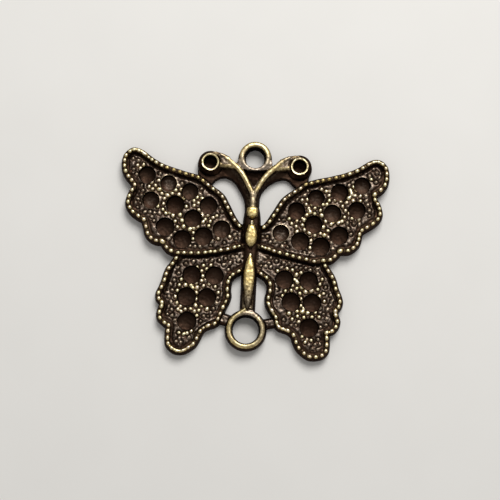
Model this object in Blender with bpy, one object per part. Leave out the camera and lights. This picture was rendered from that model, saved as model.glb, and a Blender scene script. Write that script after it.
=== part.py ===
"""Butterfly connector charm, cast in one piece, with open sockets for round stones.

The front is a relief over a flat back, as it leaves a two part mould. Every form of the
relief gives its height over the plan: the highest form wins, and the bores are cut last.
Plan coordinates and heights are in millimetres until the mesh is made. +X runs to the
right wing tip, +Y to the antennae and +Z out of the front. The origin lies on the back,
under the middle of the thorax.
"""
import math

import bpy
import numpy as np
from mathutils.geometry import delaunay_2d_cdt

MM = 0.001
NAME = "butterfly_connector"

# Heights above the back, in millimetres
UPPER_RIM = 2.45
LOWER_RIM = 2.15
SHAFT_TOP = 2.20
ANTENNA_TOP = 3.00
LOOP_TOP = 2.90
RING_TOP = 2.90
CUP_TOP = 3.30
CUP_SHOULDER = 2.30
ARM_TOP = 1.70
FLAT_TOP = 2.55
FORK_WEB_TOP = 1.20
RING_WEB_TOP = 1.70
SOCKET_WEB = 0.70
CUP_WEB = 0.60

# Rim of a wing, measured across its bead line
WALL_FOOT = 0.70
WALL_TOP = 0.40
LIP = 0.38
LIP_FOOT = 0.62
FLOOR_DROP = 0.50
BEAD_RADIUS = 0.40
BEAD_RISE = 0.45

# Stone sockets, and the grains that ring them in the middle of each wing
SOCKET_DRAFT = 0.15
GRAIN_RADIUS = 0.34
GRAIN_RISE = 0.40
GRAIN_PITCH = 1.05
GRAIN_SEAT = 0.48
GRAIN_MARGIN = 2.30

# Cups at the ends of the antennae
CUP_BORE = 1.22
CUP_LIP = 0.38
CUP_SIDE = 0.30
CUP_FOOT = 0.40
CUP_DRAFT = 0.20
CUPS = ((-7.95, 12.85), (8.00, 12.85))

# Jump ring loops: the round hole, and the bar round it
LOOP_CENTRE = (0.0, 14.15)
LOOP_HOLE = 3.90
LOOP_BAR = 1.10
RING_CENTRE = (-0.12, -16.70)
RING_HOLE = 5.20
RING_BAR = 1.15
BAR_ROUND = 0.35
BAR_DRAFT = 0.12
HOLE_DRAFT = 0.30

# Body
SHAFT_HALF = 1.40
SHAFT_FLAT = 0.60
SHAFT_TIP = 6.5
SHAFT_TAIL = -14.0
SPINDLE_ROUND = 1.45

# Antenna crest, and the drafted edge of the arms and webs
CREST_HALF = 0.22
CREST_FLANK = 0.95
EDGE_DRAFT = 0.30

# Points on a socket, on a loop or cup, along the shaft, and on a bead's foot and crown
SOCKET_STEPS = 14
LOOP_STEPS = 28
SHAFT_STEPS = 15
FOOT_STEPS = 6
CROWN_STEPS = 3

# Where a rounded form's crown line lies, as a share of its half width
CROWN_SHARE = 0.55

# Points of the plan, and of its outline, nearer than this become one
SEAM = 0.02
FOOT_SEAM = 1e-5

# An offset line's point is left out if it lies nearer the line than this share of the offset
KNOT_SHARE = 0.93

# Height that stands for no metal
NOTHING = -1.0

# Beads along each wing's rim, in order: x, y and, where it isn't the usual one, the radius
UPPER_LEFT = (
    (-2.2, 1.75), (-3.1, 2.7), (-3.8, 3.8), (-4.4, 4.9), (-4.95, 5.85), (-5.5, 6.8),
    (-6.25, 7.5, 0.3), (-7.2, 8.1), (-8.15, 8.8), (-9.1, 9.5), (-10.0, 10.05), (-11.0, 10.3),
    (-12.2, 10.55), (-13.3, 10.85), (-14.4, 11.15), (-15.6, 11.5), (-16.6, 11.85),
    (-17.6, 12.35), (-18.4, 12.8), (-19.0, 13.2, 0.34), (-19.9, 13.85), (-20.8, 14.3),
    (-21.7, 14.45), (-22.4, 14.1), (-23.05, 13.35), (-23.25, 12.45), (-23.2, 11.5),
    (-22.95, 10.55, 0.44), (-22.4, 9.65), (-21.75, 8.95), (-21.2, 8.15), (-21.6, 7.15),
    (-22.05, 6.05), (-22.2, 5.0), (-21.85, 4.05), (-21.25, 3.3), (-20.25, 2.6),
    (-19.2, 2.0, 0.46), (-18.75, 0.75), (-18.4, -0.4), (-17.75, -1.2), (-16.8, -1.65),
    (-15.7, -1.75, 0.55), (-14.9, -2.75), (-14.05, -3.35, 0.46), (-12.8, -3.65),
    (-11.75, -3.6), (-10.5, -3.55), (-9.2, -3.5), (-8.0, -3.35), (-7.1, -3.15),
    (-6.3, -3.1), (-5.25, -2.8), (-4.05, -2.55), (-2.85, -2.15), (-2.05, -1.9, 0.3),
)
UPPER_RIGHT = (
    (2.2, 1.7), (3.15, 2.75), (3.8, 3.85), (4.4, 4.85), (4.95, 5.85), (5.6, 6.85),
    (6.4, 7.6, 0.3), (7.35, 8.3), (8.35, 9.0), (9.25, 9.75, 0.44), (10.25, 10.05),
    (11.3, 10.4), (12.3, 10.65), (13.4, 10.9), (14.6, 11.25), (15.8, 11.6),
    (17.0, 12.05, 0.44), (18.3, 12.65, 0.44), (19.3, 13.25), (20.3, 13.95), (21.2, 14.4),
    (22.1, 14.45), (22.8, 14.1), (23.4, 13.4), (23.6, 12.45), (23.6, 11.45),
    (23.35, 10.45), (22.65, 9.5, 0.46), (21.6, 8.6, 0.5), (21.7, 7.65), (22.2, 6.9),
    (22.55, 6.1), (22.7, 5.15), (22.35, 4.2), (21.5, 3.35), (20.5, 2.65), (19.6, 2.05),
    (19.2, 1.3), (19.1, 0.45), (18.85, -0.4), (18.2, -1.15), (17.3, -1.7),
    (15.9, -1.85, 0.55), (15.0, -2.85), (14.2, -3.5), (13.0, -3.7, 0.44), (11.4, -3.95),
    (10.0, -3.65), (8.75, -3.45), (7.6, -3.2), (6.5, -2.95), (5.2, -2.7), (4.2, -2.45),
    (3.3, -2.15), (2.6, -2.0, 0.34), (2.05, -1.8, 0.3),
)
LOWER_LEFT = (
    (-13.1, -4.6), (-13.7, -5.6), (-14.3, -6.45), (-14.7, -7.5), (-14.95, -8.6),
    (-15.4, -9.9), (-15.85, -10.95), (-15.75, -11.9), (-15.15, -12.6, 0.46),
    (-15.2, -13.3, 0.42), (-15.5, -14.35), (-15.35, -15.35), (-14.5, -16.15),
    (-13.75, -16.6, 0.44), (-13.8, -17.6, 0.44), (-13.8, -18.85, 0.44), (-13.65, -19.8),
    (-13.0, -20.6), (-12.1, -21.0), (-11.0, -20.9), (-10.1, -20.35), (-9.25, -19.65),
    (-8.7, -18.65), (-8.15, -17.35), (-7.6, -16.75, 0.3), (-6.8, -16.3, 0.46),
    (-5.65, -15.85), (-5.1, -15.0), (-4.8, -14.1), (-4.35, -12.9, 0.48), (-3.9, -11.9, 0.34),
    (-3.6, -10.85, 0.44), (-3.75, -9.7, 0.46), (-3.65, -8.35, 0.46), (-3.4, -7.6, 0.3),
    (-2.9, -7.0), (-1.9, -6.35),
)
LOWER_RIGHT = (
    (13.4, -4.6), (14.0, -5.5), (14.7, -6.5), (15.15, -7.55), (15.45, -8.6),
    (16.0, -9.8), (16.3, -10.85), (16.1, -11.75), (15.55, -12.6, 0.48), (15.65, -13.3, 0.44),
    (16.0, -14.35), (15.75, -15.35), (15.1, -16.1), (14.2, -16.5, 0.44), (14.25, -17.45, 0.44),
    (14.3, -18.65, 0.44), (14.2, -19.7), (13.55, -20.5), (12.5, -20.85), (11.4, -20.85),
    (10.4, -20.3), (9.45, -19.4), (8.9, -18.4), (8.4, -17.2, 0.44), (7.35, -16.45, 0.44),
    (6.5, -16.2), (5.7, -15.85), (5.3, -15.1), (5.1, -14.2), (4.35, -13.05, 0.46),
    (3.75, -11.95), (3.6, -10.8), (3.85, -9.6, 0.44), (3.8, -8.3, 0.44), (3.1, -7.25),
    (2.1, -6.6),
)

# Hidden edge of each lower wing: down the middle of the shaft, then below the upper wing's rim
HIDDEN_BEADS = 12
LOWER_LEFT_ROOT = (
    (-0.7, -5.2), (-0.6, -3.4), (-0.9, -1.9), *(bead[:2] for bead in UPPER_LEFT[:-HIDDEN_BEADS:-1]),
)
LOWER_RIGHT_ROOT = (
    (0.7, -5.2), (0.6, -3.4), (0.9, -1.9), *(bead[:2] for bead in UPPER_RIGHT[:-HIDDEN_BEADS:-1]),
)

# Stone sockets: x, y and bore
UPPER_LEFT_SOCKETS = (
    (-19.1, 10.1, 2.9), (-15.2, 8.75, 2.8), (-11.3, 7.5, 2.8), (-18.2, 5.6, 2.9),
    (-13.8, 4.95, 3.1), (-7.85, 5.1, 3.0), (-10.55, 2.65, 3.0), (-15.4, 0.95, 3.1),
    (-12.2, -1.15, 3.1), (-8.5, -0.45, 3.1), (-5.3, 1.0, 3.0),
)
UPPER_RIGHT_SOCKETS = (
    (19.35, 10.15, 2.8), (15.35, 8.7, 2.9), (11.25, 7.5, 2.8), (18.6, 5.65, 2.9),
    (14.25, 4.85, 3.0), (7.85, 5.0, 2.9), (11.0, 2.7, 3.0), (5.25, 0.85, 2.8),
    (8.75, -0.45, 3.1), (12.45, -1.2, 3.1), (15.65, 0.95, 3.1),
)
LOWER_LEFT_SOCKETS = (
    (-10.2, -7.4, 3.1), (-6.15, -7.35, 3.1), (-10.9, -11.35, 3.2), (-7.3, -11.3, 3.1),
    (-10.6, -15.7, 3.2),
)
LOWER_RIGHT_SOCKETS = (
    (6.3, -7.4, 3.1), (10.6, -7.4, 3.1), (7.65, -11.35, 3.2), (11.4, -11.35, 3.1),
    (11.1, -15.75, 3.2),
)

# Head, thorax and abdomen: y and half width
HEAD = ((5.25, 0.30), (5.0, 0.72), (4.4, 0.90), (3.8, 0.78), (3.5, 0.35))
THORAX = ((2.6, 0.12), (2.0, 0.50), (1.2, 0.70), (0.2, 0.86), (-0.7, 0.90), (-1.3, 0.65), (-1.65, 0.25))
ABDOMEN = (
    (-2.9, 0.20), (-4.0, 0.36), (-5.2, 0.64), (-6.8, 0.80), (-8.4, 0.74), (-10.0, 0.58),
    (-11.4, 0.42), (-12.7, 0.15),
)

# Crest of each antenna, from the head to its cup
LEFT_CREST = (
    (-0.1, 5.4), (-0.15, 7.0), (-0.35, 7.9), (-0.9, 9.0), (-1.55, 10.2), (-2.25, 11.25),
    (-3.1, 12.15), (-4.1, 12.95), (-5.2, 13.6), (-6.4, 13.8),
)
RIGHT_CREST = (
    (0.1, 5.4), (0.15, 7.0), (0.4, 7.9), (1.0, 9.2), (1.65, 10.3), (2.4, 11.25),
    (3.3, 12.1), (4.2, 12.9), (5.3, 13.65), (6.4, 13.8),
)

# Arms under the crests, from the stem along the lower edge, round the cup and back
LEFT_ARM = (
    (0.3, 4.6), (-1.4, 4.6), (-1.45, 5.95), (-1.75, 6.95), (-2.1, 7.65), (-2.6, 8.45),
    (-3.2, 9.35), (-4.0, 10.05), (-5.0, 10.45), (-6.0, 10.35), (-6.9, 9.8), (-7.7, 8.7),
    (-9.2, 8.4), (-10.15, 9.4), (-10.15, 12.9), (-8.0, 14.6), (-6.2, 14.7), (-5.2, 14.25),
    (-4.2, 13.6), (-3.3, 12.95), (-2.2, 12.2), (-1.7, 11.4), (-1.1, 10.2), (-0.5, 9.0),
    (0.1, 8.0),
)
RIGHT_ARM = (
    (-0.3, 4.6), (-0.1, 8.0), (0.5, 9.0), (1.2, 10.3), (1.8, 11.3), (2.3, 12.0),
    (3.3, 12.9), (4.2, 13.55), (5.2, 14.25), (6.2, 14.75), (8.0, 14.6), (10.1, 12.9),
    (9.7, 10.4), (9.6, 8.8), (8.0, 8.4), (7.5, 9.2), (6.9, 9.7), (6.3, 10.3), (5.7, 10.6),
    (5.0, 10.6), (4.0, 10.3), (3.05, 9.75), (2.35, 9.15), (1.85, 8.55), (1.4, 7.8),
    (1.2, 6.9), (1.2, 4.6),
)

# Flats where the antennae meet their cups, and beside the top loop
LEFT_FLAT = (
    (-3.5, 12.4), (-4.2, 12.3), (-5.6, 12.4), (-6.5, 12.5), (-7.2, 13.4), (-6.4, 14.55),
    (-5.2, 13.95), (-4.2, 13.2),
)
RIGHT_FLAT = (
    (3.5, 12.4), (4.2, 13.2), (5.2, 13.95), (6.4, 14.6), (7.2, 13.4), (6.5, 12.6), (5.6, 12.5),
    (4.2, 12.3),
)
LOOP_SHOULDERS = (
    (-2.6, 14.4), (-3.1, 14.0), (-3.1, 12.6), (-2.0, 11.8), (1.9, 11.8), (3.1, 12.6), (3.1, 14.0),
    (2.6, 14.4),
)

# Webs in the fork, from the ring to the lower wings, and from the shaft to the ring
FORK_WEB = ((-2.4, 12.6), (0.0, 7.0), (2.4, 12.6))
LEFT_RING_WEB = ((-2.6, -14.2), (-4.6, -13.6), (-5.4, -15.8), (-3.3, -16.2))
RIGHT_RING_WEB = ((2.4, -14.6), (3.4, -16.4), (5.6, -15.9), (4.9, -14.1))
RING_SHOULDERS = ((-0.9, -12.7), (-3.2, -15.4), (0.0, -15.4), (3.0, -15.4), (0.8, -12.7))


def circle(centre, radius, steps):
    """A closed loop of evenly spaced points."""
    angles = np.arange(steps) * math.tau / steps
    return np.column_stack((centre[0] + radius * np.cos(angles), centre[1] + radius * np.sin(angles)))


def nearest(points, path, closed):
    """Distance from each point to a path."""
    starts = path if closed else path[:-1]
    runs = np.roll(path, -1, axis=0) - path if closed else path[1:] - path[:-1]
    across = points[:, None] - starts[None]
    share = np.clip((across * runs).sum(2) / (runs * runs).sum(1), 0, 1)
    gaps = across - share[..., None] * runs
    return np.hypot(gaps[..., 0], gaps[..., 1]).min(axis=1)


def inside(points, starts, ends):
    """Whether each point lies inside the closed lines that sides between two ends make."""
    x, y = points[:, 0, None], points[:, 1, None]
    spans = (starts[:, 1] > y) != (ends[:, 1] > y)
    rise = np.where(ends[:, 1] == starts[:, 1], 1.0, ends[:, 1] - starts[:, 1])
    crossing = starts[:, 0] + (y - starts[:, 1]) * (ends[:, 0] - starts[:, 0]) / rise
    return (spans & (x < crossing)).sum(1) % 2 == 1


def outward(points, loop):
    """Signed distance from a closed loop, positive outside it."""
    reach = nearest(points, loop, True)
    return np.where(inside(points, loop, np.roll(loop, -1, axis=0)), -reach, reach)


def offset_loop(loop, distance):
    """The loop moved outward by a distance, without the knots that tight bends would make."""
    if not distance:
        return loop
    along = np.roll(loop, -1, axis=0) - np.roll(loop, 1, axis=0)
    along /= np.linalg.norm(along, axis=1)[:, None]
    normal = np.column_stack((along[:, 1], -along[:, 0]))
    twice_area = (loop[:, 0] * np.roll(loop[:, 1], -1) - np.roll(loop[:, 0], -1) * loop[:, 1]).sum()
    moved = loop + normal * distance * np.sign(twice_area)
    return moved[nearest(moved, loop, True) > abs(distance) * KNOT_SHARE]


def smooth_loop(points, parts):
    """A closed curve through the points, each span cut into equal parts."""
    before, after, beyond = (np.roll(points, shift, axis=0) for shift in (1, -1, -2))
    curve = []
    for share in np.arange(parts) / parts:
        linear = (after - before) * share
        square = (2 * before - 5 * points + 4 * after - beyond) * share ** 2
        cubic = (3 * points - before - 3 * after + beyond) * share ** 3
        curve.append(points + 0.5 * (linear + square + cubic))
    return np.stack(curve, axis=1).reshape(-1, 2)


class Form:
    """A form of the relief: its height over the plan, and the lines that its mesh follows."""

    def __init__(self, height, loops=(), lines=()):
        self.height = height
        self.paths = [(np.asarray(path, float), True) for path in loops]
        self.paths += [(np.asarray(path, float), False) for path in lines]
        corners = np.vstack([path for path, _ in self.paths])
        self.low = corners.min(axis=0)
        self.high = corners.max(axis=0)

    def near(self, points):
        """Rows of the points that may lie on this form."""
        within = (points >= self.low) & (points <= self.high)
        return np.flatnonzero(within.all(axis=1))


def banked(loop, profile, shown):
    """A form whose height depends on the distance out from a closed loop."""
    offsets, heights = np.array(profile).T

    def height(points):
        reach = outward(points, loop)
        return np.where(reach > offsets[-1], NOTHING, np.interp(reach, offsets, heights))

    return Form(height, [offset_loop(loop, offset) for offset in shown])


def turned(centre, profile, steps):
    """A round form, given by its radii and heights from the middle out."""
    radii, heights = np.array(profile).T

    def height(points):
        reach = np.hypot(*(points - centre).T)
        return np.where(reach > radii[-1], NOTHING, np.interp(reach, radii, heights))

    rims = [circle(centre, radius, steps) for radius in radii if radius > 0]
    return Form(height, rims)


def dome(centre, radius, base, rise, crown):
    """A bead or grain of metal standing on its carrier, with its crown points."""

    def height(points):
        share = np.hypot(*(points - centre).T) / radius
        bulge = base + rise * np.sqrt(np.clip(1 - share ** 2, 0, 1))
        return np.where(share > 1, NOTHING, bulge)

    return Form(height, [circle(centre, radius, FOOT_STEPS), crown])


def ridge(crest, profile, shown):
    """A bar along an open crest line, with the same profile down both sides."""
    crest = np.array(crest)
    offsets, heights = np.array(profile).T
    first = crest[1] - crest[0]
    last = crest[-1] - crest[-2]

    def height(points):
        reach = nearest(points, crest, False)
        before = (points - crest[0]) @ first < 0
        beyond = (points - crest[-1]) @ last > 0
        off = before | beyond | (reach > offsets[-1])
        return np.where(off, NOTHING, np.interp(reach, offsets, heights))

    along = np.gradient(crest, axis=0)
    along /= np.linalg.norm(along, axis=1)[:, None]
    normal = np.column_stack((-along[:, 1], along[:, 0]))
    lines = [crest + normal * offset for offset in shown]
    return Form(height, (), lines)


def spindle(stations, base):
    """A rounded form along the body, given by its half widths."""
    places, halves = np.array(sorted(stations)).T

    def height(points):
        half = np.interp(points[:, 1], places, halves)
        share = np.abs(points[:, 0]) / half
        crown = base + SPINDLE_ROUND * half * np.sqrt(np.clip(1 - share ** 2, 0, 1))
        within = (share <= 1) & (points[:, 1] >= places[0]) & (points[:, 1] <= places[-1])
        return np.where(within, crown, NOTHING)

    right = np.column_stack((halves, places))
    loops = []
    for share in (1.0, CROWN_SHARE):
        side = right * (share, 1.0)
        loops.append(np.vstack((side, (side * (-1.0, 1.0))[::-1])))
    return Form(height, loops, [right * (0.0, 1.0)])


def wing(beads, root, rim):
    """A dished wing: drafted outer wall, rim with its beads, and a sunken floor."""
    bead_line = np.array([bead[:2] for bead in beads])
    line = smooth_loop(np.array([*bead_line, *root]), 2)
    floor = rim - FLOOR_DROP
    profile = ((-LIP_FOOT, floor), (-LIP, rim), (WALL_TOP, rim), (WALL_FOOT, 0.0))
    forms = [banked(line, profile, (WALL_FOOT, WALL_TOP, -LIP_FOOT))]
    for x, y, *size in beads:
        radius = size[0] if size else BEAD_RADIUS
        crown = circle((x, y), radius * CROWN_SHARE, CROWN_STEPS)
        forms.append(dome((x, y), radius, rim, BEAD_RISE * radius / BEAD_RADIUS, crown))
    return forms, line


def grains(sockets, rim, line):
    """Grains in a ring round each socket, where there is room for them."""
    forms = []
    placed = np.empty((0, 2))
    for x, y, bore in sockets:
        reach = bore / 2 + GRAIN_SEAT
        ring = circle((x, y), reach, round(math.tau * reach / GRAIN_PITCH))
        for place, edge in zip(ring, outward(ring, line)):
            room = min(np.hypot(*(place - other[:2])) - other[2] / 2 for other in sockets)
            crowded = len(placed) and np.hypot(*(placed - place).T).min() < 2 * GRAIN_RADIUS
            if crowded or room < GRAIN_RADIUS or edge > -GRAIN_MARGIN:
                continue
            placed = np.vstack((placed, place))
            forms.append(dome(place, GRAIN_RADIUS, rim - FLOOR_DROP, GRAIN_RISE, [place]))
    return forms


def plate(outline, top):
    """A flat arm or web with drafted edges."""
    loop = np.array(outline, float)
    return banked(loop, ((-EDGE_DRAFT, top), (0.0, 0.0)), (0.0, -EDGE_DRAFT))


def antenna(crest, arm):
    """An antenna: a low arm with a sharp crest along it."""
    profile = ((0.0, ANTENNA_TOP), (CREST_HALF, ANTENNA_TOP), (CREST_FLANK, ARM_TOP))
    shown = (-CREST_FLANK, -CREST_HALF, CREST_HALF, CREST_FLANK)
    return [plate(arm, ARM_TOP), ridge(crest, profile, shown)]


def shaft():
    """The long bar under head, thorax and abdomen."""
    shoulder = SHAFT_HALF - EDGE_DRAFT
    profile = ((0.0, SHAFT_TOP), (SHAFT_FLAT, SHAFT_TOP), (shoulder, ARM_TOP), (SHAFT_HALF, 0.0))
    centre_line = [(0.0, place) for place in np.linspace(SHAFT_TIP, SHAFT_TAIL, SHAFT_STEPS)]
    shown = (-SHAFT_HALF, -shoulder, -SHAFT_FLAT, SHAFT_FLAT, shoulder, SHAFT_HALF)
    return ridge(centre_line, profile, shown)


def loop_bar(centre, hole, bar, top):
    """The rounded bar round a jump ring hole."""
    radius = hole / 2
    side = top - BAR_ROUND
    profile = (
        (0.0, side), (radius, side), (radius + BAR_ROUND, top), (radius + bar - BAR_ROUND - BAR_DRAFT, top),
        (radius + bar - BAR_DRAFT, side), (radius + bar, 0.0),
    )
    return turned(centre, profile, LOOP_STEPS)


def cup(centre):
    """The body of a cup at the end of an antenna."""
    lip = CUP_BORE + CUP_LIP
    side = lip + CUP_SIDE
    profile = ((0.0, CUP_TOP), (lip, CUP_TOP), (side, CUP_SHOULDER), (side + CUP_FOOT, 0.0))
    return turned(centre, profile, LOOP_STEPS)


def relief():
    """All forms of the casting, and the bores that are cut into them."""
    forms = []
    cuts = []
    wings = (
        (UPPER_LEFT, (), UPPER_RIM, UPPER_LEFT_SOCKETS),
        (UPPER_RIGHT, (), UPPER_RIM, UPPER_RIGHT_SOCKETS),
        (LOWER_LEFT, LOWER_LEFT_ROOT, LOWER_RIM, LOWER_LEFT_SOCKETS),
        (LOWER_RIGHT, LOWER_RIGHT_ROOT, LOWER_RIM, LOWER_RIGHT_SOCKETS),
    )
    for beads, root, rim, sockets in wings:
        parts, line = wing(beads, root, rim)
        forms += parts
        forms += grains(sockets, rim, line)
        cuts += [((x, y), bore / 2, SOCKET_DRAFT, SOCKET_WEB, SOCKET_STEPS) for x, y, bore in sockets]
    forms += [shaft(), spindle(HEAD, SHAFT_TOP), spindle(THORAX, SHAFT_TOP), spindle(ABDOMEN, SHAFT_TOP)]
    forms += [*antenna(LEFT_CREST, LEFT_ARM), *antenna(RIGHT_CREST, RIGHT_ARM)]
    forms += [plate(flat, FLAT_TOP) for flat in (LEFT_FLAT, RIGHT_FLAT, LOOP_SHOULDERS, RING_SHOULDERS)]
    forms += [plate(web, RING_WEB_TOP) for web in (LEFT_RING_WEB, RIGHT_RING_WEB)]
    forms.append(plate(FORK_WEB, FORK_WEB_TOP))
    for centre, hole, bar, top in ((LOOP_CENTRE, LOOP_HOLE, LOOP_BAR, LOOP_TOP),
                                   (RING_CENTRE, RING_HOLE, RING_BAR, RING_TOP)):
        forms.append(loop_bar(centre, hole, bar, top))
        cuts.append((centre, hole / 2, HOLE_DRAFT, NOTHING, LOOP_STEPS))
    for centre in CUPS:
        forms.append(cup(centre))
        cuts.append((centre, CUP_BORE, CUP_DRAFT, CUP_WEB, SOCKET_STEPS))
    return forms, cuts


def surface(points, forms, cuts):
    """Height of the finished relief over each point of the plan."""
    height = np.full(len(points), NOTHING)
    for form in forms:
        rows = form.near(points)
        height[rows] = np.maximum(height[rows], form.height(points[rows]))
    for centre, radius, draft, web, _ in cuts:
        reach = np.hypot(*(points - centre).T)
        floor = max(web, 0.0)
        wall = floor + (height - floor) * np.clip((reach - radius) / draft + 1, 0, 1)
        cut = np.where(reach < radius - draft - 1e-6, web, wall)
        height = np.where(reach < radius, np.minimum(height, cut), height)
    return height


def plan_lines(forms, cuts):
    """Points and edges of the plan that the mesh has to follow, without the buried ones."""
    paths = [(path, closed) for form in forms for path, closed in form.paths]
    own = np.concatenate([form.height(path) for form in forms for path, _ in form.paths])
    shown = abs(surface(np.vstack([path for path, _ in paths]), forms, cuts) - own) < SEAM
    for centre, radius, draft, _, steps in cuts:
        paths += [(circle(centre, reach, steps), True) for reach in (radius, radius - draft)]
    points = np.vstack([path for path, _ in paths])
    shown = np.append(shown, np.ones(len(points) - len(shown), bool))
    spans = []
    first = 0
    for path, closed in paths:
        rows = first + np.arange(len(path))
        first += len(path)
        pairs = np.column_stack((rows, np.roll(rows, -1)))
        spans.append(pairs if closed else pairs[:-1])
    spans = np.vstack(spans)
    spans = spans[shown[spans].any(axis=1) & (spans[:, 0] != spans[:, 1])]
    kept = np.union1d(spans, np.flatnonzero(shown))
    return points[kept], np.searchsorted(kept, spans).tolist()


def triangles(points, edges, spacing):
    """Triangles between the points that keep to the edges: their corners and their plan."""
    plan, _, faces = delaunay_2d_cdt([tuple(point) for point in points], edges, [], 0, spacing)[:3]
    return np.array([tuple(point) for point in plan]), np.array([tuple(face) for face in faces])


def border(faces):
    """Sides that belong to one face alone."""
    sides = {(int(start), int(end)) for face in faces for start, end in zip(face, np.roll(face, -1))}
    return np.array(sorted(side for side in sides if side[::-1] not in sides))


def solid_mesh(forms, cuts):
    """The closed casting: the relief triangulated over its plan, and the flat back."""
    plan, faces = triangles(*plan_lines(forms, cuts), SEAM)
    front = faces[surface(plan[faces].mean(axis=1), forms, cuts) > 0]
    outline = border(front)
    while (flat := np.isin(front, outline).all(axis=1)).any():
        front = front[~flat]
        outline = border(front)
    corners = np.unique(outline)
    height = surface(plan, forms, cuts)
    height[corners] = 0.0

    foot, back = triangles(plan[corners], np.searchsorted(corners, outline).tolist(), FOOT_SEAM)
    back = back[inside(foot[back].mean(axis=1), *plan[outline].transpose(1, 0, 2))]

    used, place = np.unique(np.concatenate((front, corners[back][:, ::-1])), return_inverse=True)
    vertices = np.column_stack((plan, height))[used] * MM
    mesh = bpy.data.meshes.new(NAME)
    mesh.from_pydata(vertices.tolist(), [], place.reshape(-1, 3).tolist())
    mesh.validate()
    return mesh


def bronze():
    """Antique bronze: dark patina over yellow metal."""
    material = bpy.data.materials.new("antique_bronze")
    material.use_nodes = True
    shader = material.node_tree.nodes["Principled BSDF"]
    shader.inputs["Base Color"].default_value = (0.11, 0.075, 0.04, 1.0)
    shader.inputs["Metallic"].default_value = 1.0
    shader.inputs["Roughness"].default_value = 0.42
    return material


def main():
    for item in list(bpy.data.objects):
        bpy.data.objects.remove(item, do_unlink=True)
    mesh = solid_mesh(*relief())
    mesh.materials.append(bronze())
    mesh.shade_smooth()
    mesh.set_sharp_from_angle(angle=math.radians(35))
    casting = bpy.data.objects.new(NAME, mesh)
    bpy.context.scene.collection.objects.link(casting)


main()
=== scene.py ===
"""Looks of the butterfly connector charm: one casting in antique bronze, rubbed bright on its crests.

The casting is a relief over a flat back. Every form of the relief gives its height over the
plan and says how far it is rubbed: the highest form wins, and the bores are cut last. Plan
coordinates and heights are in millimetres until the mesh is made.
"""
import math

import bpy
import numpy as np
from mathutils import Matrix, Vector, noise
from mathutils.geometry import delaunay_2d_cdt


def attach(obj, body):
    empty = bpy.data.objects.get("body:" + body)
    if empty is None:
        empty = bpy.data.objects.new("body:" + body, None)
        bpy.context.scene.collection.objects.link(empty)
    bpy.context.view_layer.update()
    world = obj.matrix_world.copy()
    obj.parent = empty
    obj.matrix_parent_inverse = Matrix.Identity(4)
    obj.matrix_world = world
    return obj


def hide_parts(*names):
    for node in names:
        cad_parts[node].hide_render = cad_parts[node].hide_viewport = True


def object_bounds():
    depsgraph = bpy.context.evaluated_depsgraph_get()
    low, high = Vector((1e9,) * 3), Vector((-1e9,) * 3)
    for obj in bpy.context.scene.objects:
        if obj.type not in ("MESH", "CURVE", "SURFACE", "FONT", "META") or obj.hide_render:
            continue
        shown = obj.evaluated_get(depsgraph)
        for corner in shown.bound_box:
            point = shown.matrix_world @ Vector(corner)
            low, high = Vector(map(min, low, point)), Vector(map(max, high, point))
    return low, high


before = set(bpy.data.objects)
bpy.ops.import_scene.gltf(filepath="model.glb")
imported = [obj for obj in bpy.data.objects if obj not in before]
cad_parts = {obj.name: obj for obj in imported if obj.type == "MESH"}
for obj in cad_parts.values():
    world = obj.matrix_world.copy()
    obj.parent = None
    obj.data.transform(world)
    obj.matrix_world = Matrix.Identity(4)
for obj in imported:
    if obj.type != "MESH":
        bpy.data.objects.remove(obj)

MM = 0.001
NODE = "butterfly_connector"
CAD_LOW, CAD_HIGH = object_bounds()

# The photograph's view, in millimetres and degrees
PICTURE_WIDTH = 88.78
CAMERA_REACH = 320.0
CAMERA_TILT = 7.0
PICTURE_ROLL = 2.96
PICTURE_CENTRE = (-0.083, -2.514)

# Soft lamp, in metres and watts, and the even surround
LAMP_SIZE = 0.2
LAMP_POWER = 1.62
LAMP_PLACE = (0.06, 0.25, 0.37)
SURROUND = 0.35

# Heights above the back, in millimetres
UPPER_RIM = 2.45
LOWER_RIM = 2.15
SHAFT_TOP = 2.2
ANTENNA_TOP = 3.0
LOOP_TOP = 2.9
RING_TOP = 2.9
CUP_TOP = 3.3
CUP_SHOULDER = 2.3
FLAT_TOP = 2.55
FORK_WEB_TOP = 1.2
RING_WEB_TOP = 1.7
SOCKET_WEB = 0.7
CUP_WEB = 0.6

# Rim of a wing across its bead line, and the floor inside it
WALL_FOOT = 0.7
RIM_HALF = 0.34
DITCH = 0.7
DITCH_EDGE = 0.62
DITCH_DROP = 0.7
FLOOR_DROP = 0.6
WEB_RISE = 0.2
WEB_SLOPE = 0.45
WING_LINES = (WALL_FOOT, 0.57, 0.45, 0.36, 0.24, -0.24, -RIM_HALF, -0.44, -0.6, -DITCH)
UPPER_CAP = ((0.0, 1.3), (1.4, 1.3), (1.65, 1.75), (2.15, 3.0))
LOWER_CAP = ((0.0, 1.2), (0.95, 1.2), (1.05, 1.6), (1.75, 3.0))

# Shade inside a rim, read from the change of distance on a step towards the lamp
SHADE_REACH = 1.0
LAMP_STEP = (0.0, 0.3)
SHADE_EDGES = (-0.15, 0.2)
LIT_EDGE = 0.42
LIT_RISE = 0.1

# Finishes of a wing, with painted shade on its floor where the rim hides it from the lamp, and painted
# light in its ditch where the lamp reaches it
WEB_RUB = 0.29
RIM_RUB = 0.18
LIT_DITCH_RUB = 0.06
SHADE_LOSS = 0.75
FLOOR_SOOT_AND_SHADE = 0.35
LIT_DITCH_LIGHTENING = 0.7
RIM_SOOT = 0.4

# Beads and grains: how full and out of round they are, and the rings that their mesh follows
DOME_SQUARE = 3.0
DOME_POWER = 0.6
DOME_RINGS = ((10, 0.98), (7, 0.56))
OUT_OF_ROUND = 0.12
DRAWN_OUT = 0.14
BEAD_RADIUS = 0.4
BEAD_RISE = 0.45
BEAD_RISES = (0.92, 1.04)
BEAD_RUBS = (0.93, 1.0)
BEAD_BARE = (0.4, 0.82)

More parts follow.
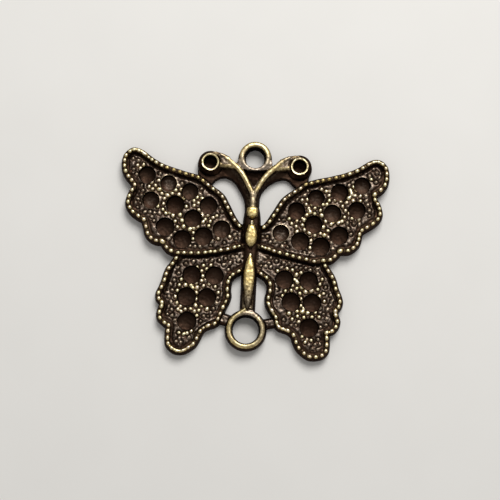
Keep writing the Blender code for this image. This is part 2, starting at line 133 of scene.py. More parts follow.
# Beads on the upper edges near the antennae are less bright
DULL_ABOVE = 9.0
DULL_WITHIN = 16.5
DULL_LOSS = 0.2

# Grains round the sockets: radius, rise and rub of the bright, large, dim and fine ones
GRAIN_RADIUS = 0.41
GRAIN_KINDS = (
    (GRAIN_RADIUS, (0.46, 0.54), (0.92, 1.0)),
    (0.49, (0.5, 0.58), (0.94, 1.0)),
    (GRAIN_RADIUS, (0.38, 0.44), (0.6, 0.75)),
)
FINE_GRAIN = ((0.33, 0.42), (0.34, 0.46), (0.35, 0.7))
GRAIN_PITCH = 0.9
GRAIN_GAP = 0.756
GRAIN_JITTER = 0.12
SOCKET_CLEAR = 0.08
DIM_BELOW = 0.8
DIM_GREY = 0.9
GRAIN_BARE = (0.3, 0.75)
DIM_BARE = (0.45, 0.95)
MOAT = (0.02, 0.22)

# Stone sockets and their lips, which stand prouder where they are rubbed bright
SOCKET_DRAFT = 0.15
SOCKET_EASE = 0.13
SOCKET_STEPS = 24
SEAT_RISE = 0.2
LIP_WIDTH = 0.22
LIP_BRIGHT = 0.3
LIP_PROUD = 0.14
LIP_LOW = -0.02

# Cups at the ends of the antennae
CUP_BORE = 1.22
CUP_LIP = 0.38
CUP_SIDE = 0.55
CUP_FOOT = 0.15
CUP_DRAFT = 0.2
CUP_STEPS = 64
CUPS = ((-7.95, 12.85), (8.0, 12.85))

# Jump ring loops
LOOP_CENTRE = (0.0, 14.15)
LOOP_HOLE = 3.9
LOOP_BAR = 1.1
RING_CENTRE = (-0.12, -16.7)
RING_HOLE = 5.2
RING_BAR = 1.15
BAR_STEPS = 120
HOLE_DRAFT = 0.3
BORE_EDGE = 0.05

# Body
SHAFT_HALF = 1.4
SHAFT_TIP = 6.5
SHAFT_TAIL = -14.0
SPINDLE_ROUND = 1.42
SPINDLE_SQUARE = 2.7
SPINDLE_BLUR = 0.12
SPINDLE_LINES = (-1.0, -0.92, -0.7, 0.7, 0.92, 1.0, 0.0)
THORAX_LEAN = 0.12

# Crests of the antennae: profile down from the top, and lines that the mesh follows
CREST = ((0.0, 0.0), (0.18, -0.03), (0.33, -0.11), (0.48, -0.3), (0.62, -0.62))
CREST_LINES = (-0.48, -0.33, -0.18, 0.0, 0.18, 0.33, 0.48)
BRANCH_DROP = 0.12

# Heights between which the rust on a wall, partly a painted warm reflection, fades out
RUST_AND_REFLECTION_FADE = (0.6, 3.0)
WING_RUST_AND_REFLECTION_FADE = (0.6, 2.6)

# Uneven cast surface: swells and lumps, and the rub that lumps take
SWELL_SCALE = 0.9
SWELL = 0.03
LUMP_SCALE = 2.1
LUMP = 0.012
ROUGH_LUMP = 0.085
LUMP_PAINT = 0.27
LUMP_RANGE = (-0.3, 0.45)

# Spacing of the mesh: along the drawn lines, and between them
LINE_STEP = 0.17
FILL_STEP = 0.165
STAGGER = 0.87
SEAM = 0.025
FOOT_SEAM = 1e-5
SHARP = 58
BATCH = 4000
NOTHING = -1.0
SEED = 7

# Columns of the finish at each point
RUB, GREY, WALL, ROUGH, SOOT_AND_SHADE = range(5)

# Each wing: rim height, cap near the shaft, and its hidden edge from the shaft, which for a lower
# wing also runs below the upper rim. Beads along the rim in order: x, y and, where it isn't the
# usual one, the radius. Sockets: x, y, bore and how far the lip is rubbed. Then the grains.
HIDDEN_BEADS = 12
UPPER_LEFT = dict(rim=UPPER_RIM, cap=UPPER_CAP, root=((-0.8, -1.5), (-0.8, 1.3)), beads=(
    (-2.2, 1.75), (-3.1, 2.7), (-3.8, 3.8), (-4.4, 4.9), (-4.95, 5.85), (-5.5, 6.8), (-6.25, 7.5, 0.3),
    (-7.2, 8.1), (-8.15, 8.8), (-9.1, 9.5), (-10, 10.05), (-11, 10.3), (-12.2, 10.55), (-13.3, 10.85),
    (-14.4, 11.15), (-15.6, 11.5), (-16.6, 11.85), (-17.6, 12.35), (-18.4, 12.8), (-19, 13.2, 0.34),
    (-19.9, 13.85), (-20.8, 14.3), (-21.7, 14.45), (-22.4, 14.1), (-23.05, 13.35), (-23.25, 12.45),
    (-23.2, 11.5), (-22.95, 10.55, 0.44), (-22.4, 9.65), (-21.75, 8.95), (-21.2, 8.15), (-21.6, 7.15),
    (-22.05, 6.05), (-22.2, 5), (-21.85, 4.05), (-21.25, 3.3), (-20.25, 2.6), (-19.2, 2, 0.46),
    (-18.75, 0.75), (-18.4, -0.4), (-17.75, -1.2), (-16.8, -1.65), (-15.7, -1.75, 0.55), (-14.9, -2.75),
    (-14.05, -3.35, 0.46), (-12.8, -3.65), (-11.75, -3.6), (-10.5, -3.55), (-9.2, -3.5), (-8, -3.35),
    (-7.1, -3.15), (-6.3, -3.1), (-5.25, -2.8), (-4.05, -2.55), (-2.85, -2.15), (-2.05, -1.9, 0.3),
), sockets=(
    (-19.1, 10.1, 2.9, 0.05), (-15.2, 8.75, 2.8, 0.95), (-11.3, 7.5, 2.8, 0.15),
    (-18.2, 5.6, 2.9, 0.45), (-13.8, 4.95, 3.1, 0.1), (-7.85, 5.1, 3, 0.05), (-10.55, 2.65, 3, 0.1),
    (-15.4, 0.95, 3.1, 0.1), (-12.2, -1.15, 3.1, 0.1), (-8.5, -0.45, 3.1, 0.15), (-5.3, 1, 3, 0.35),
), bright=(
    (-20.9, 11.75), (-19.85, 11.9), (-20.4, 11.2), (-17, 9.2), (-17.5, 8.25), (-18.2, 8.8), (-18.65, 8),
    (-18, 7.6), (-16.3, 6.85), (-14.45, 6.95), (-13.85, 7.6), (-12.4, 6.15), (-11.8, 4.75),
    (-15.4, 3.35), (-15.95, 4), (-15.9, 5.05), (-15.8, 6), (-16.9, 4.5), (-12.9, 7.8), (-11.4, 6.3),
    (-10.5, 5.85), (-10.45, 5), (-9.7, 5.5), (-9.95, 6.5), (-9.1, 6.4), (-9.55, 4.3), (-8.85, 3.3),
    (-7.9, 3.4), (-8.3, 2.6), (-8.7, 2.1), (-6.95, 3), (-6.3, 3.35), (-7.4, 2.3), (-7.65, 1.5),
    (-9.55, 1.25), (-13.65, 2), (-13.2, 1), (-10.3, 0.1), (-10.3, -1), (-5.85, -0.7), (-3.8, -0.3),
    (-14.7, 3.5),
), large=(
    (-16.8, 7.6), (-15.3, 6.6), (-13.25, 6.85), (-12.85, 3.2), (-14.1, 3), (-10.35, 1), (-11, 0.7),
    (-12.45, 2.2), (-12.1, 1.15),
), dim=(
    (-20.85, 12.6), (-21.6, 11), (-21, 10.1), (-13.4, 8.35), (-12.8, 8.85), (-9.5, 7.1), (-8.8, 3.8),
    (-13.6, 0), (-14.3, -0.65), (-14.7, -1.2), (-10.8, -2.3), (-9.9, -2.3), (-9, -2.3), (-6.9, -1.2),
))
UPPER_RIGHT = dict(rim=UPPER_RIM, cap=UPPER_CAP, root=((0.8, -1.5), (0.8, 1.3)), beads=(
    (2.2, 1.7), (3.15, 2.75), (3.8, 3.85), (4.4, 4.85), (4.95, 5.85), (5.6, 6.85), (6.4, 7.6, 0.3),
    (7.35, 8.3), (8.35, 9), (9.25, 9.75, 0.44), (10.25, 10.05), (11.3, 10.4), (12.3, 10.65),
    (13.4, 10.9), (14.6, 11.25), (15.8, 11.6), (17, 12.05, 0.44), (18.3, 12.65, 0.44), (19.3, 13.25),
    (20.3, 13.95), (21.2, 14.4), (22.1, 14.45), (22.8, 14.1), (23.4, 13.4), (23.6, 12.45),
    (23.6, 11.45), (23.35, 10.45), (22.65, 9.5, 0.46), (21.6, 8.6, 0.5), (21.7, 7.65), (22.2, 6.9),
    (22.55, 6.1), (22.7, 5.15), (22.35, 4.2), (21.5, 3.35), (20.5, 2.65), (19.6, 2.05), (19.2, 1.3),
    (19.1, 0.45), (18.85, -0.4), (18.2, -1.15), (17.3, -1.7), (15.9, -1.85, 0.55), (15, -2.85),
    (14.2, -3.5), (13, -3.7, 0.44), (11.4, -3.95), (10, -3.65), (8.75, -3.45), (7.6, -3.2),
    (6.5, -2.95), (5.2, -2.7), (4.2, -2.45), (3.3, -2.15), (2.6, -2, 0.34), (2.05, -1.8, 0.3),
), sockets=(
    (19.35, 10.15, 2.8, 0.3), (15.35, 8.7, 2.9, 0.15), (11.25, 7.5, 2.8, 0.3), (18.6, 5.65, 2.9, 0.1),
    (14.25, 4.85, 3, 0.35), (7.85, 5, 2.9, 0.05), (11, 2.7, 3, 0.15), (5.25, 0.85, 2.8, 0.75),
    (8.75, -0.45, 3.1, 0.1), (12.45, -1.2, 3.1, 0.1), (15.65, 0.95, 3.1, 0.05),
), bright=(
    (20.9, 11.35), (17.8, 9.85), (18.3, 9.2), (17.25, 9.25), (18.15, 8.25), (19.1, 8.25), (19.15, 7.35),
    (16.7, 6.95), (15.6, 7.1), (14.65, 7.3), (13.6, 7.15), (13.5, 8.05), (12.95, 8.8), (12.1, 9.1),
    (12.5, 6.35), (13.2, 6.45), (16, 6.25), (16.55, 5.5), (17.25, 5), (16.45, 4.3), (17.8, 4.15),
    (19.05, 4.05), (15.35, 3.15), (14.5, 3.3), (14.1, 2.9), (13.1, 3.35), (12.1, 5.3), (11.65, 6.2),
    (11.1, 5.65), (11.1, 4.65), (10.5, 6.3), (9.5, 6.25), (10, 5.55), (9.7, 4.35), (8.8, 3.85),
    (8, 3.2), (9, 2.5), (7.1, 2.65), (7.9, 2.2), (6.6, 3.5), (9.7, 7.15), (8.75, 7), (9.4, 1.65),
    (11.3, 0.75), (12.3, 1.15), (13.6, 1.7), (10.65, -0.2), (10.55, -1.5),
), large=(
    (17.1, 7.8), (17.5, 8.6), (17.9, 7.3), (16, 3.5), (12.35, 4.4), (10.3, 4.9), (9.3, 3.4),
    (8.1, 1.25), (10.3, 1.15), (13, 0.9), (12.75, 2.3),
), dim=(
    (21.8, 10.9), (20.6, 11.95), (17.65, 10.6), (20.1, 8.3), (20.15, 7.4), (20.5, 6.7), (20.8, 5.7),
    (13.6, 8.8), (13.7, 0.5), (14.3, -0.4), (17.75, 1.3), (17.2, 2.3), (17, 3.3),
))
LOWER_LEFT = dict(rim=LOWER_RIM, cap=LOWER_CAP, root=(
    (-0.3, -5.2), (-0.3, -3.4), (-0.6, -1.9),
    *(bead[:2] for bead in UPPER_LEFT["beads"][:-HIDDEN_BEADS:-1]),
), beads=(
    (-13.1, -4.6), (-13.7, -5.6), (-14.3, -6.45), (-14.7, -7.5), (-14.95, -8.6), (-15.4, -9.9),
    (-15.85, -10.95), (-15.75, -11.9), (-15.15, -12.6, 0.46), (-15.2, -13.3, 0.42), (-15.5, -14.35),
    (-15.35, -15.35), (-14.5, -16.15), (-13.75, -16.6, 0.44), (-13.8, -17.6, 0.44),
    (-13.8, -18.85, 0.44), (-13.65, -19.8), (-13, -20.6), (-12.1, -21), (-11, -20.9), (-10.1, -20.35),
    (-9.25, -19.65), (-8.7, -18.65), (-8.15, -17.35), (-7.6, -16.75, 0.3), (-6.8, -16.3, 0.46),
    (-5.65, -15.85), (-5.1, -15), (-4.8, -14.1), (-4.35, -12.9, 0.48), (-3.9, -11.9, 0.34),
    (-3.6, -10.85, 0.44), (-3.75, -9.7, 0.46), (-3.65, -8.35, 0.46), (-3.4, -7.6, 0.3), (-2.9, -7),
    (-1.9, -6.35),
), sockets=(
    (-10.2, -7.4, 3.1, 0.1), (-6.15, -7.35, 3.1, 0.05), (-10.9, -11.35, 3.2, 0.1),
    (-7.3, -11.3, 3.1, 0.1), (-10.6, -15.7, 3.2, 0.05),
), bright=(
    (-12, -8.3), (-12.3, -9.3), (-9.3, -8.8), (-9.9, -9.7), (-8.4, -8.35), (-8.2, -7.5), (-8.45, -6.6),
    (-8.2, -5.6), (-9.3, -6), (-7.6, -6.2), (-6.9, -5.5), (-7, -8.85), (-8, -9.25), (-5.9, -9.3),
    (-12.6, -10.3), (-12.9, -11.4), (-12.55, -12.5), (-9.15, -10.5), (-9.2, -11.7), (-8.1, -12.85),
    (-11.9, -13.1), (-12.3, -13.65), (-11, -13.55), (-10.05, -13.45), (-9.35, -13.85), (-8.6, -13.65),
    (-8.9, -14.6), (-11.7, -14), (-11.05, -18), (-11.9, -17.8), (-10.4, -17.8), (-9.7, -17.4),
    (-5.3, -10.3),
), large=(
    (-11.2, -9.25), (-10.2, -9.2), (-9.1, -9.6), (-9.2, -12.8), (-7.15, -13.35),
), dim=(
    (-12.55, -7.2), (-10.05, -5), (-7.75, -4.7), (-6.75, -4.65), (-7.75, -8.2), (-13.5, -10.3),
    (-13.4, -13.75), (-13.3, -14.8), (-5.35, -11.3), (-5.6, -12.2), (-4.35, -4.2), (-3.55, -4.9),
    (-4.6, -5.3),
))
LOWER_RIGHT = dict(rim=LOWER_RIM, cap=LOWER_CAP, root=(
    (0.3, -5.2), (0.3, -3.4), (0.6, -1.9),
    *(bead[:2] for bead in UPPER_RIGHT["beads"][:-HIDDEN_BEADS:-1]),
), beads=(
    (13.4, -4.6), (14, -5.5), (14.7, -6.5), (15.15, -7.55), (15.45, -8.6), (16, -9.8), (16.3, -10.85),
    (16.1, -11.75), (15.55, -12.6, 0.48), (15.65, -13.3, 0.44), (16, -14.35), (15.75, -15.35),
    (15.1, -16.1), (14.2, -16.5, 0.44), (14.25, -17.45, 0.44), (14.3, -18.65, 0.44), (14.2, -19.7),
    (13.55, -20.5), (12.5, -20.85), (11.4, -20.85), (10.4, -20.3), (9.45, -19.4), (8.9, -18.4),
    (8.4, -17.2, 0.44), (7.35, -16.45, 0.44), (6.5, -16.2), (5.7, -15.85), (5.3, -15.1), (5.1, -14.2),
    (4.35, -13.05, 0.46), (3.75, -11.95), (3.6, -10.8), (3.85, -9.6, 0.44), (3.8, -8.3, 0.44),
    (3.1, -7.25), (2.1, -6.6),
), sockets=(
    (6.3, -7.4, 3.1, 0.05), (10.6, -7.4, 3.1, 0.1), (7.65, -11.35, 3.2, 0.1), (11.4, -11.35, 3.1, 0.1),
    (11.1, -15.75, 3.2, 0.05),
), bright=(
    (6.7, -5.4), (7.65, -5.6), (9.2, -6), (13, -7), (12.65, -7.9), (8.15, -7.3), (7.75, -8.4),
    (8.55, -8.85), (7.6, -9.25), (6.55, -9.4), (10.6, -8.15), (9.15, -9.7), (12.3, -8.85),
    (13.35, -9.55), (13.55, -10.9), (9.4, -10.65), (9.4, -11.9), (9.95, -12.35), (8.8, -12.9),
    (8.9, -13.8), (8, -14.35), (9.2, -14.75), (10.05, -13.95), (11.5, -13.8), (12.05, -12.95),
    (12.75, -13.75), (6.1, -10.3), (11.55, -17.95), (10.5, -18.35), (9.9, -17.4), (5, -5.9),
), large=(
    (8.4, -6.4), (8.6, -7.75), (9.5, -8.6), (10.15, -9.4), (11.2, -9.1), (12.6, -10.1), (9.75, -12.95),
    (10.7, -13.1), (7.4, -13.35),
), dim=(
    (10.8, -5.45), (12.15, -6.1), (12.8, -12.2), (14.1, -15.1), (13.1, -15.5), (10.8, -17.9),
    (3.4, -4.6), (4.7, -4.15),
))
WINGS = (UPPER_LEFT, UPPER_RIGHT, LOWER_LEFT, LOWER_RIGHT)

# Low ridges inside the rims and fanned out beside the body, rubbed grey
INNER_RIDGES = (
    ((-13.1, -5.9), (-13.65, -8), (-14.1, -9.6), (-14.05, -11.2)),
    ((-4.85, -8.7), (-4.75, -11.2), (-5.5, -13.3)),
    ((-5.9, -15.1), (-7.65, -16), (-9.1, -17.4), (-9.4, -18.8)),
    ((14.6, -9.35), (15.2, -10.55), (14.7, -11.5)),
    ((2.2, -5.8), (4.2, -7.2), (4.85, -8.3), (4.8, -9.8), (4.5, -11), (4.8, -12.3), (5.5, -12.9)),
    ((-6, -2.45), (-3.8, -1.8)), ((6.6, -2.35), (8.6, -2.65), (11.4, -3.05)),
    ((-2.3, -4.3), (-2.6, -3.6)), ((-1.95, -4.2), (-2.1, -3.3)), ((-1.65, -4.2), (-1.6, -3.2)),
    ((2.3, -4.3), (2.5, -3.6)), ((1.95, -4.2), (2.05, -3.3)), ((1.65, -4.2), (1.6, -3.2)),
)

# Stretches of rim where the beads run together
RUNS = (
    ((-22, 14.4), (-21.2, 14.5), (-20.5, 14.3), (-19.4, 13.65)),
    ((20.2, 13.9), (21.2, 14.4), (22, 14.5), (22.7, 14.2)),
    ((-13.3, -20.3), (-12.1, -21), (-11, -20.9), (-10.1, -20.35), (-9.3, -19.7)),
    ((3.45, -11.7), (4.15, -12.8), (4.75, -13.7)), ((5.35, -15.2), (5.65, -15.95), (7.3, -16.5)),
    ((13.95, -16.45), (14.6, -16.4), (15.3, -16.15)),
)

# Head, thorax and abdomen: y and half width, with the thin lines between them
HEAD = ((5.25, 0.5), (5.1, 0.86), (4.75, 1.01), (4.1, 1.04), (3.6, 0.92), (3.3, 0.6), (3.15, 0.25))
THORAX = (
    (2.15, 0.36), (1.95, 0.66), (1.4, 0.84), (0.8, 0.98), (0.1, 1.06), (-0.7, 1.04), (-1.3, 0.86),
    (-1.7, 0.58), (-2.1, 0.34), (-2.4, 0.16),
)
ABDOMEN = (
    (-3.15, 0.16), (-3.5, 0.34), (-4.2, 0.56), (-5.4, 0.84), (-6.8, 0.98), (-8.4, 0.96), (-10, 0.82),
    (-11.4, 0.68), (-12.4, 0.52), (-13.1, 0.25),
)
NECK_LINES = (((-0.02, 2.75), (-0.02, 1.7)), ((0.02, -3.05), (0.02, -4)))

# Crest of each antenna, from the head to its cup, and the second crest beside the cup
LEFT_CREST = (
    (-0.1, 5.2), (-0.12, 6.2), (-0.15, 7), (-0.35, 7.9), (-0.9, 9), (-1.55, 10.2), (-2.25, 11.25),
    (-3.1, 12.15), (-4.1, 13), (-5.1, 13.75), (-5.7, 14.12), (-6.25, 14.4),
)
RIGHT_CREST = (
    (0.1, 5.2), (0.12, 6.2), (0.15, 7), (0.4, 7.9), (1, 9.2), (1.65, 10.3), (2.4, 11.25), (3.3, 12.1),
    (4.2, 12.95), (5.1, 13.75), (5.7, 14.14), (6.25, 14.45),
)
LEFT_BRANCH = ((-3.4, 12.3), (-4.4, 12.5), (-5.5, 12.5), (-6.5, 12.6))
RIGHT_BRANCH = ((3.5, 12.25), (4.4, 12.45), (5.5, 12.5), (6.5, 12.65))

# Arms under the crests, from the stem along the lower edge, round the cup and back
LEFT_ARM = (
    (0.3, 4.6), (-1.4, 4.6), (-1.45, 5.95), (-1.75, 6.95), (-2.1, 7.65), (-2.6, 8.45), (-3.2, 9.35),
    (-4, 10.05), (-5, 10.45), (-6, 10.35), (-6.9, 9.8), (-7.7, 8.7), (-9.2, 8.4), (-10.15, 9.4),
    (-10.15, 12.9), (-8, 14.6), (-6.2, 14.7), (-5.2, 14.25), (-4.2, 13.6), (-3.3, 12.95), (-2.2, 12.2),
    (-1.7, 11.4), (-1.1, 10.2), (-0.5, 9), (0.1, 8),
)
RIGHT_ARM = (
    (-0.3, 4.6), (-0.1, 8), (0.5, 9), (1.2, 10.3), (1.8, 11.3), (2.3, 12), (3.3, 12.9), (4.2, 13.55),
    (5.2, 14.25), (6.2, 14.75), (8, 14.6), (10.1, 12.9), (9.7, 10.4), (9.6, 8.8), (8, 8.4), (7.5, 9.2),
    (6.9, 9.7), (6.3, 10.3), (5.7, 10.6), (5, 10.6), (4, 10.3), (3.05, 9.75), (2.35, 9.15),
    (1.85, 8.55), (1.4, 7.8), (1.2, 6.9), (1.2, 4.6),
)

# Gussets that carry the arms round to the cups, the flats inside them, and those beside the top loop
LEFT_GUSSET = ((-8.2, 13.2), (-8.2, 14.85), (-7.1, 14.98), (-6.2, 14.78), (-5.3, 14.38), (-5.8, 13.2))
RIGHT_GUSSET = ((8.2, 13.2), (5.8, 13.2), (5.3, 14.4), (6.2, 14.8), (7.1, 14.98), (8.2, 14.85))
LEFT_FLAT = (
    (-3.2, 12.5), (-4.2, 12.4), (-5.4, 12.4), (-6.1, 12.45), (-6.15, 13.4), (-6.75, 14.25),
    (-6.5, 14.5), (-5.2, 14.05), (-4.2, 13.3),
)
RIGHT_FLAT = (
    (3.2, 12.5), (4.2, 13.3), (5.2, 14.05), (6.5, 14.55), (6.7, 14.3), (6.1, 13.4), (6.1, 12.5),
    (5.4, 12.45), (4.2, 12.4),
)
LOOP_SHOULDERS = (
    (-2.6, 14.2), (-3.15, 13.7), (-3.2, 12.75), (-2.5, 12.1), (-1.8, 11.75), (1.8, 11.75), (2.5, 12.1),
    (3.2, 12.75), (3.15, 13.7), (2.6, 14.2),
)

# Web and black pit in the fork: the pit's black is patina deepened as painted shade
FORK_WEB = ((-2.4, 12.6), (0, 7), (2.4, 12.6))
FORK_PIT = ((-1.85, 11.75), (-1.1, 10.3), (-0.45, 9.1), (0, 8.3), (0.5, 9.1), (1.1, 10.3), (1.75, 11.9))

# Bottom ring: webs to the lower wings, shoulders and flat towards the shaft, and the bright leg
LEFT_RING_WEB = ((-2.6, -14.2), (-4.6, -13.6), (-5.4, -15.8), (-3.3, -16.2))
RIGHT_RING_WEB = ((2.4, -14.6), (3.4, -16.4), (5.6, -15.9), (4.9, -14.1))
RING_SHOULDERS = ((-0.9, -12.7), (-3.2, -15.4), (0, -15.4), (3, -15.4), (0.8, -12.7))
RING_FLAT = ((-0.7, -14), (0.15, -13.05), (0.9, -13.1), (2.4, -14.3), (3.1, -15.4), (0, -15.4))
RING_LEG = ((-0.3, -13.05), (-1.2, -13.7), (-2.2, -14.5), (-2.8, -15.4), (-3.15, -16.4))


def circle(centre, radius, steps, turn=0):
    """A closed loop of evenly spaced points."""
    angles = turn + np.arange(steps) * math.tau / steps
    return np.column_stack((centre[0] + radius * np.cos(angles), centre[1] + radius * np.sin(angles)))


def nearest(points, path, closed):
    """Distance from each point to a path."""
    starts = path if closed else path[:-1]
    runs = np.roll(path, -1, axis=0) - path if closed else path[1:] - path[:-1]
    lengths = (runs * runs).sum(1)
    reach = np.empty(len(points))
    for first in range(0, len(points), BATCH):
        across = points[first:first + BATCH, None] - starts[None]
        share = np.clip((across * runs).sum(2) / lengths, 0, 1)
        gaps = across - share[..., None] * runs
        reach[first:first + BATCH] = np.sqrt((gaps ** 2).sum(2).min(axis=1))
    return reach


def inside(points, starts, ends):
    """Whether each point lies inside the closed lines that sides between two ends make."""
    rise = np.where(ends[:, 1] == starts[:, 1], 1, ends[:, 1] - starts[:, 1])
    lean = (ends[:, 0] - starts[:, 0]) / rise
    found = np.empty(len(points), bool)
    for first in range(0, len(points), BATCH):
        x, y = points[first:first + BATCH].T[..., None]
        spans = (starts[:, 1] > y) != (ends[:, 1] > y)
        crossing = starts[:, 0] + (y - starts[:, 1]) * lean
        found[first:first + BATCH] = (spans & (x < crossing)).sum(1) % 2 == 1
    return found


def outward(points, loop):
    """Signed distance from a closed loop, positive outside it."""
    reach = nearest(points, loop, True)
    return np.where(inside(points, loop, np.roll(loop, -1, axis=0)), -reach, reach)


def offset_loop(loop, distance):
    """The loop moved outward by a distance, without the knots that tight bends would make."""
    if not distance:
        return loop
    along = np.roll(loop, -1, axis=0) - np.roll(loop, 1, axis=0)
    along /= np.linalg.norm(along, axis=1)[:, None]
    normal = np.column_stack((along[:, 1], -along[:, 0]))
    twice_area = (loop[:, 0] * np.roll(loop[:, 1], -1) - np.roll(loop[:, 0], -1) * loop[:, 1]).sum()
    moved = loop + normal * distance * np.sign(twice_area)
    clear = 0.93 * abs(distance)
    return moved[nearest(moved, loop, True) > clear]


def finely(path, closed):
    """The path with points added, none further apart than the line step."""
    path = np.asarray(path, float)
    ends = np.roll(path, -1, axis=0) if closed else path[1:]
    fine = []
    for start, end in zip(path, ends):
        parts = max(1, math.ceil(math.dist(start, end) / LINE_STEP))
        fine += [start + (end - start) * share for share in np.arange(parts) / parts]
    return np.array(fine if closed else [*fine, path[-1]])


def curved(path, closed=False, parts=6):
    """A smooth curve through the points, each span cut into equal parts."""
    path = np.asarray(path, float)
    before = path[-1] if closed else 2 * path[0] - path[1]
    beyond = path[:2] if closed else 2 * path[-1:] - path[-2:-1]
    path = np.vstack((before, path, beyond))
    before, start, end, beyond = path[:-3], path[1:-2], path[2:-1], path[3:]
    curve = []
    for share in np.arange(parts) / parts:
        linear = (end - before) * share
        square = (2 * before - 5 * start + 4 * end - beyond) * share ** 2
        cubic = (3 * start - before - 3 * end + beyond) * share ** 3
        curve.append(start + 0.5 * (linear + square + cubic))
    curve = np.stack(curve, axis=1).reshape(-1, 2)
    return curve if closed else np.vstack((curve, path[-2]))


def staggered(low, high, pitch):
    """Points in staggered rows over a box of the plan."""
    spots = []
    for place, y in enumerate(np.arange(low[1], high[1], pitch * STAGGER)):
        across = np.arange(low[0] + pitch / 2 * (place % 2), high[0], pitch)
        spots.append(np.column_stack((across, np.full(len(across), y))))
    return np.vstack(spots)


def ramp(values, low, high):
    """A smooth step from 0 at the low value to 1 at the high one."""
    share = np.clip((values - low) / (high - low), 0, 1)
    return share * share * (3 - 2 * share)


def graded(values, steps):
    """Values read from a table of pairs."""
    return np.interp(values, *np.array(steps).T)


def by_x(*steps):
    """A value over the plan, read from a table by x."""
    return lambda points: graded(points[:, 0], steps)


def by_y(*steps):
    """The same by y."""
    return lambda points: graded(points[:, 1], steps)


def by_side(*steps):
    """The same by the distance to the middle line."""
    return lambda points: graded(abs(points[:, 0]), steps)


def joined(join, first, second):
    """Two such values made into one."""
    return lambda points: join(first(points), second(points))


def over(base, profile):
    """A profile whose heights are counted from a base."""
    return tuple((offset, base + rise) for offset, rise in profile)


class Form:
    """A form of the relief.

    Its mesh follows the loops and lines. Its rub is a level that is reached between a dark and a
    bright height, and fade lowers it from place to place. Grey tells brass from ashen metal, wall
    is how rusty its foot is, partly a painted warm reflection, rough how uneven it is, and soot
    how black its patina is, deepened in places as painted shade.
    """

    def __init__(self, height, loops=(), lines=(), rub=(0, 0, 1), fade=None, grey=0,
                 wall=0, rough=0.3, soot=0.3):
        self.height = height
        self.rub = rub
        self.fade = fade
        self.finish = (grey, wall, rough, soot)
        self.paths = [(np.asarray(path, float), True) for path in loops]
        self.paths += [(np.asarray(path, float), False) for path in lines]
        corners = np.vstack([path for path, _ in self.paths])
        self.low = corners.min(axis=0)
        self.high = corners.max(axis=0)

    def look(self, points):
        """Height, and the five finishes: rub, grey, wall, rough and soot."""
        own = self.height(points)
        level, dark, bright = self.rub
        rubbed = level * ramp(own, dark, bright)
        if self.fade:
            rubbed = rubbed * self.fade(points)
        finish = [part(points) if callable(part) else part + 0 * own for part in (rubbed, *self.finish)]
        finish[WALL] *= 1 - ramp(own, *RUST_AND_REFLECTION_FADE)
        return own, np.column_stack(finish)


def turned(centre, profile, steps, **finish):
    """A round form, given by its radii and heights from the middle out."""
    radii, heights = np.array(profile).T

    def height(points):
        reach = np.hypot(*(points - centre).T)
        return np.where(reach > radii[-1], NOTHING, np.interp(reach, radii, heights))

    return Form(height, [circle(centre, radius, steps) for radius in radii if radius > 0], **finish)


def dome(x, y, radius, base, rise, rubbed, grey, bare, run=None):
    """A bead or grain of metal on its carrier, a little out of round or drawn out along a run."""
    lean = OUT_OF_ROUND * math.sin(37 * x + 17 * y)
    turn = 11 * x - 7 * y
    if run is not None:
        lean = lean / 2 - DRAWN_OUT
        turn = 2 * run

    def side(angles):
        return radius / (1 + lean * np.cos(2 * angles - turn))

    def height(points):
        along, across = (points - (x, y)).T
        share = np.hypot(along, across) / side(np.arctan2(across, along))
        arch = np.clip(1 - share ** DOME_SQUARE, 0, 1) ** DOME_POWER
        return np.where(share > 1, NOTHING, base + rise * arch)

    loops = []
    for steps, share in DOME_RINGS:
        ring = circle((0, 0), 1, steps, turn)
        loops.append((x, y) + ring * side(np.arctan2(ring[:, 1], ring[:, 0]))[:, None] * share)
    dark, bright = bare
    rub = (rubbed, base + rise * dark, base + rise * bright)
    form = Form(height, [*loops, [(x, y)]], rub=rub, grey=grey)
    box = radius / (1 - abs(lean))
    form.low = np.array((x - box, y - box))
    form.high = np.array((x + box, y + box))
    return form


def ridge(crest, profile, shown, width=None, **finish):
    """A bar along an open crest line, with the same profile down both sides."""
    crest = np.asarray(crest, float)
    offsets, heights = np.array(profile).T
    first = crest[1] - crest[0]
    last = crest[-1] - crest[-2]

    def height(points):
        reach = nearest(points, crest, False)
        if width:
            reach = reach / width(points)
        beyond = ((points - crest[0]) @ first < 0) | ((points - crest[-1]) @ last > 0)
        return np.where(beyond | (reach > offsets[-1]), NOTHING, np.interp(reach, offsets, heights))

    along = np.gradient(crest, axis=0)
    along /= np.linalg.norm(along, axis=1)[:, None]
    normal = np.column_stack((-along[:, 1], along[:, 0]))
    spread = width(crest)[:, None] if width else 1
    return Form(height, (), [crest + normal * offset * spread for offset in shown], **finish)


def bar(crest, half, base, rise, **finish):
    """A low rounded bar with round ends, such as a run of beads or a faint ridge."""
    crest = curved(crest)

    def height(points):
        share = nearest(points, crest, False) / half
        return np.where(share > 1, NOTHING, base + rise * np.sqrt(np.clip(1 - share ** 2, 0, 1)))

    form = Form(height, (), [crest], **finish)
    form.low = form.low - half
    form.high = form.high + half
    return form


def spindle(stations, cap, **finish):
    """A rounded form on the shaft, given by its half widths, with its top worn to a flat."""
    places, halves = np.array(sorted(stations)).T
    fine = np.linspace(places[0], places[-1], math.ceil((places[-1] - places[0]) / LINE_STEP))
    halves = np.interp(fine, places, halves)

    def height(points):
        half = np.interp(points[:, 1], fine, halves)
        share = np.abs(points[:, 0]) / half
        arch = np.clip(1 - share ** SPINDLE_SQUARE, 0, 1) ** (1 / SPINDLE_SQUARE)
        crown = SPINDLE_ROUND * half * arch
        worn = cap - SPINDLE_BLUR * np.log1p(np.exp((cap - crown) / SPINDLE_BLUR))
        within = (share <= 1) & (points[:, 1] >= fine[0]) & (points[:, 1] <= fine[-1])
        return np.where(within, SHAFT_TOP + np.maximum(worn, 0), NOTHING)

    right = np.column_stack((halves, fine))
    return Form(height, (), [right * (share, 1) for share in SPINDLE_LINES], **finish)


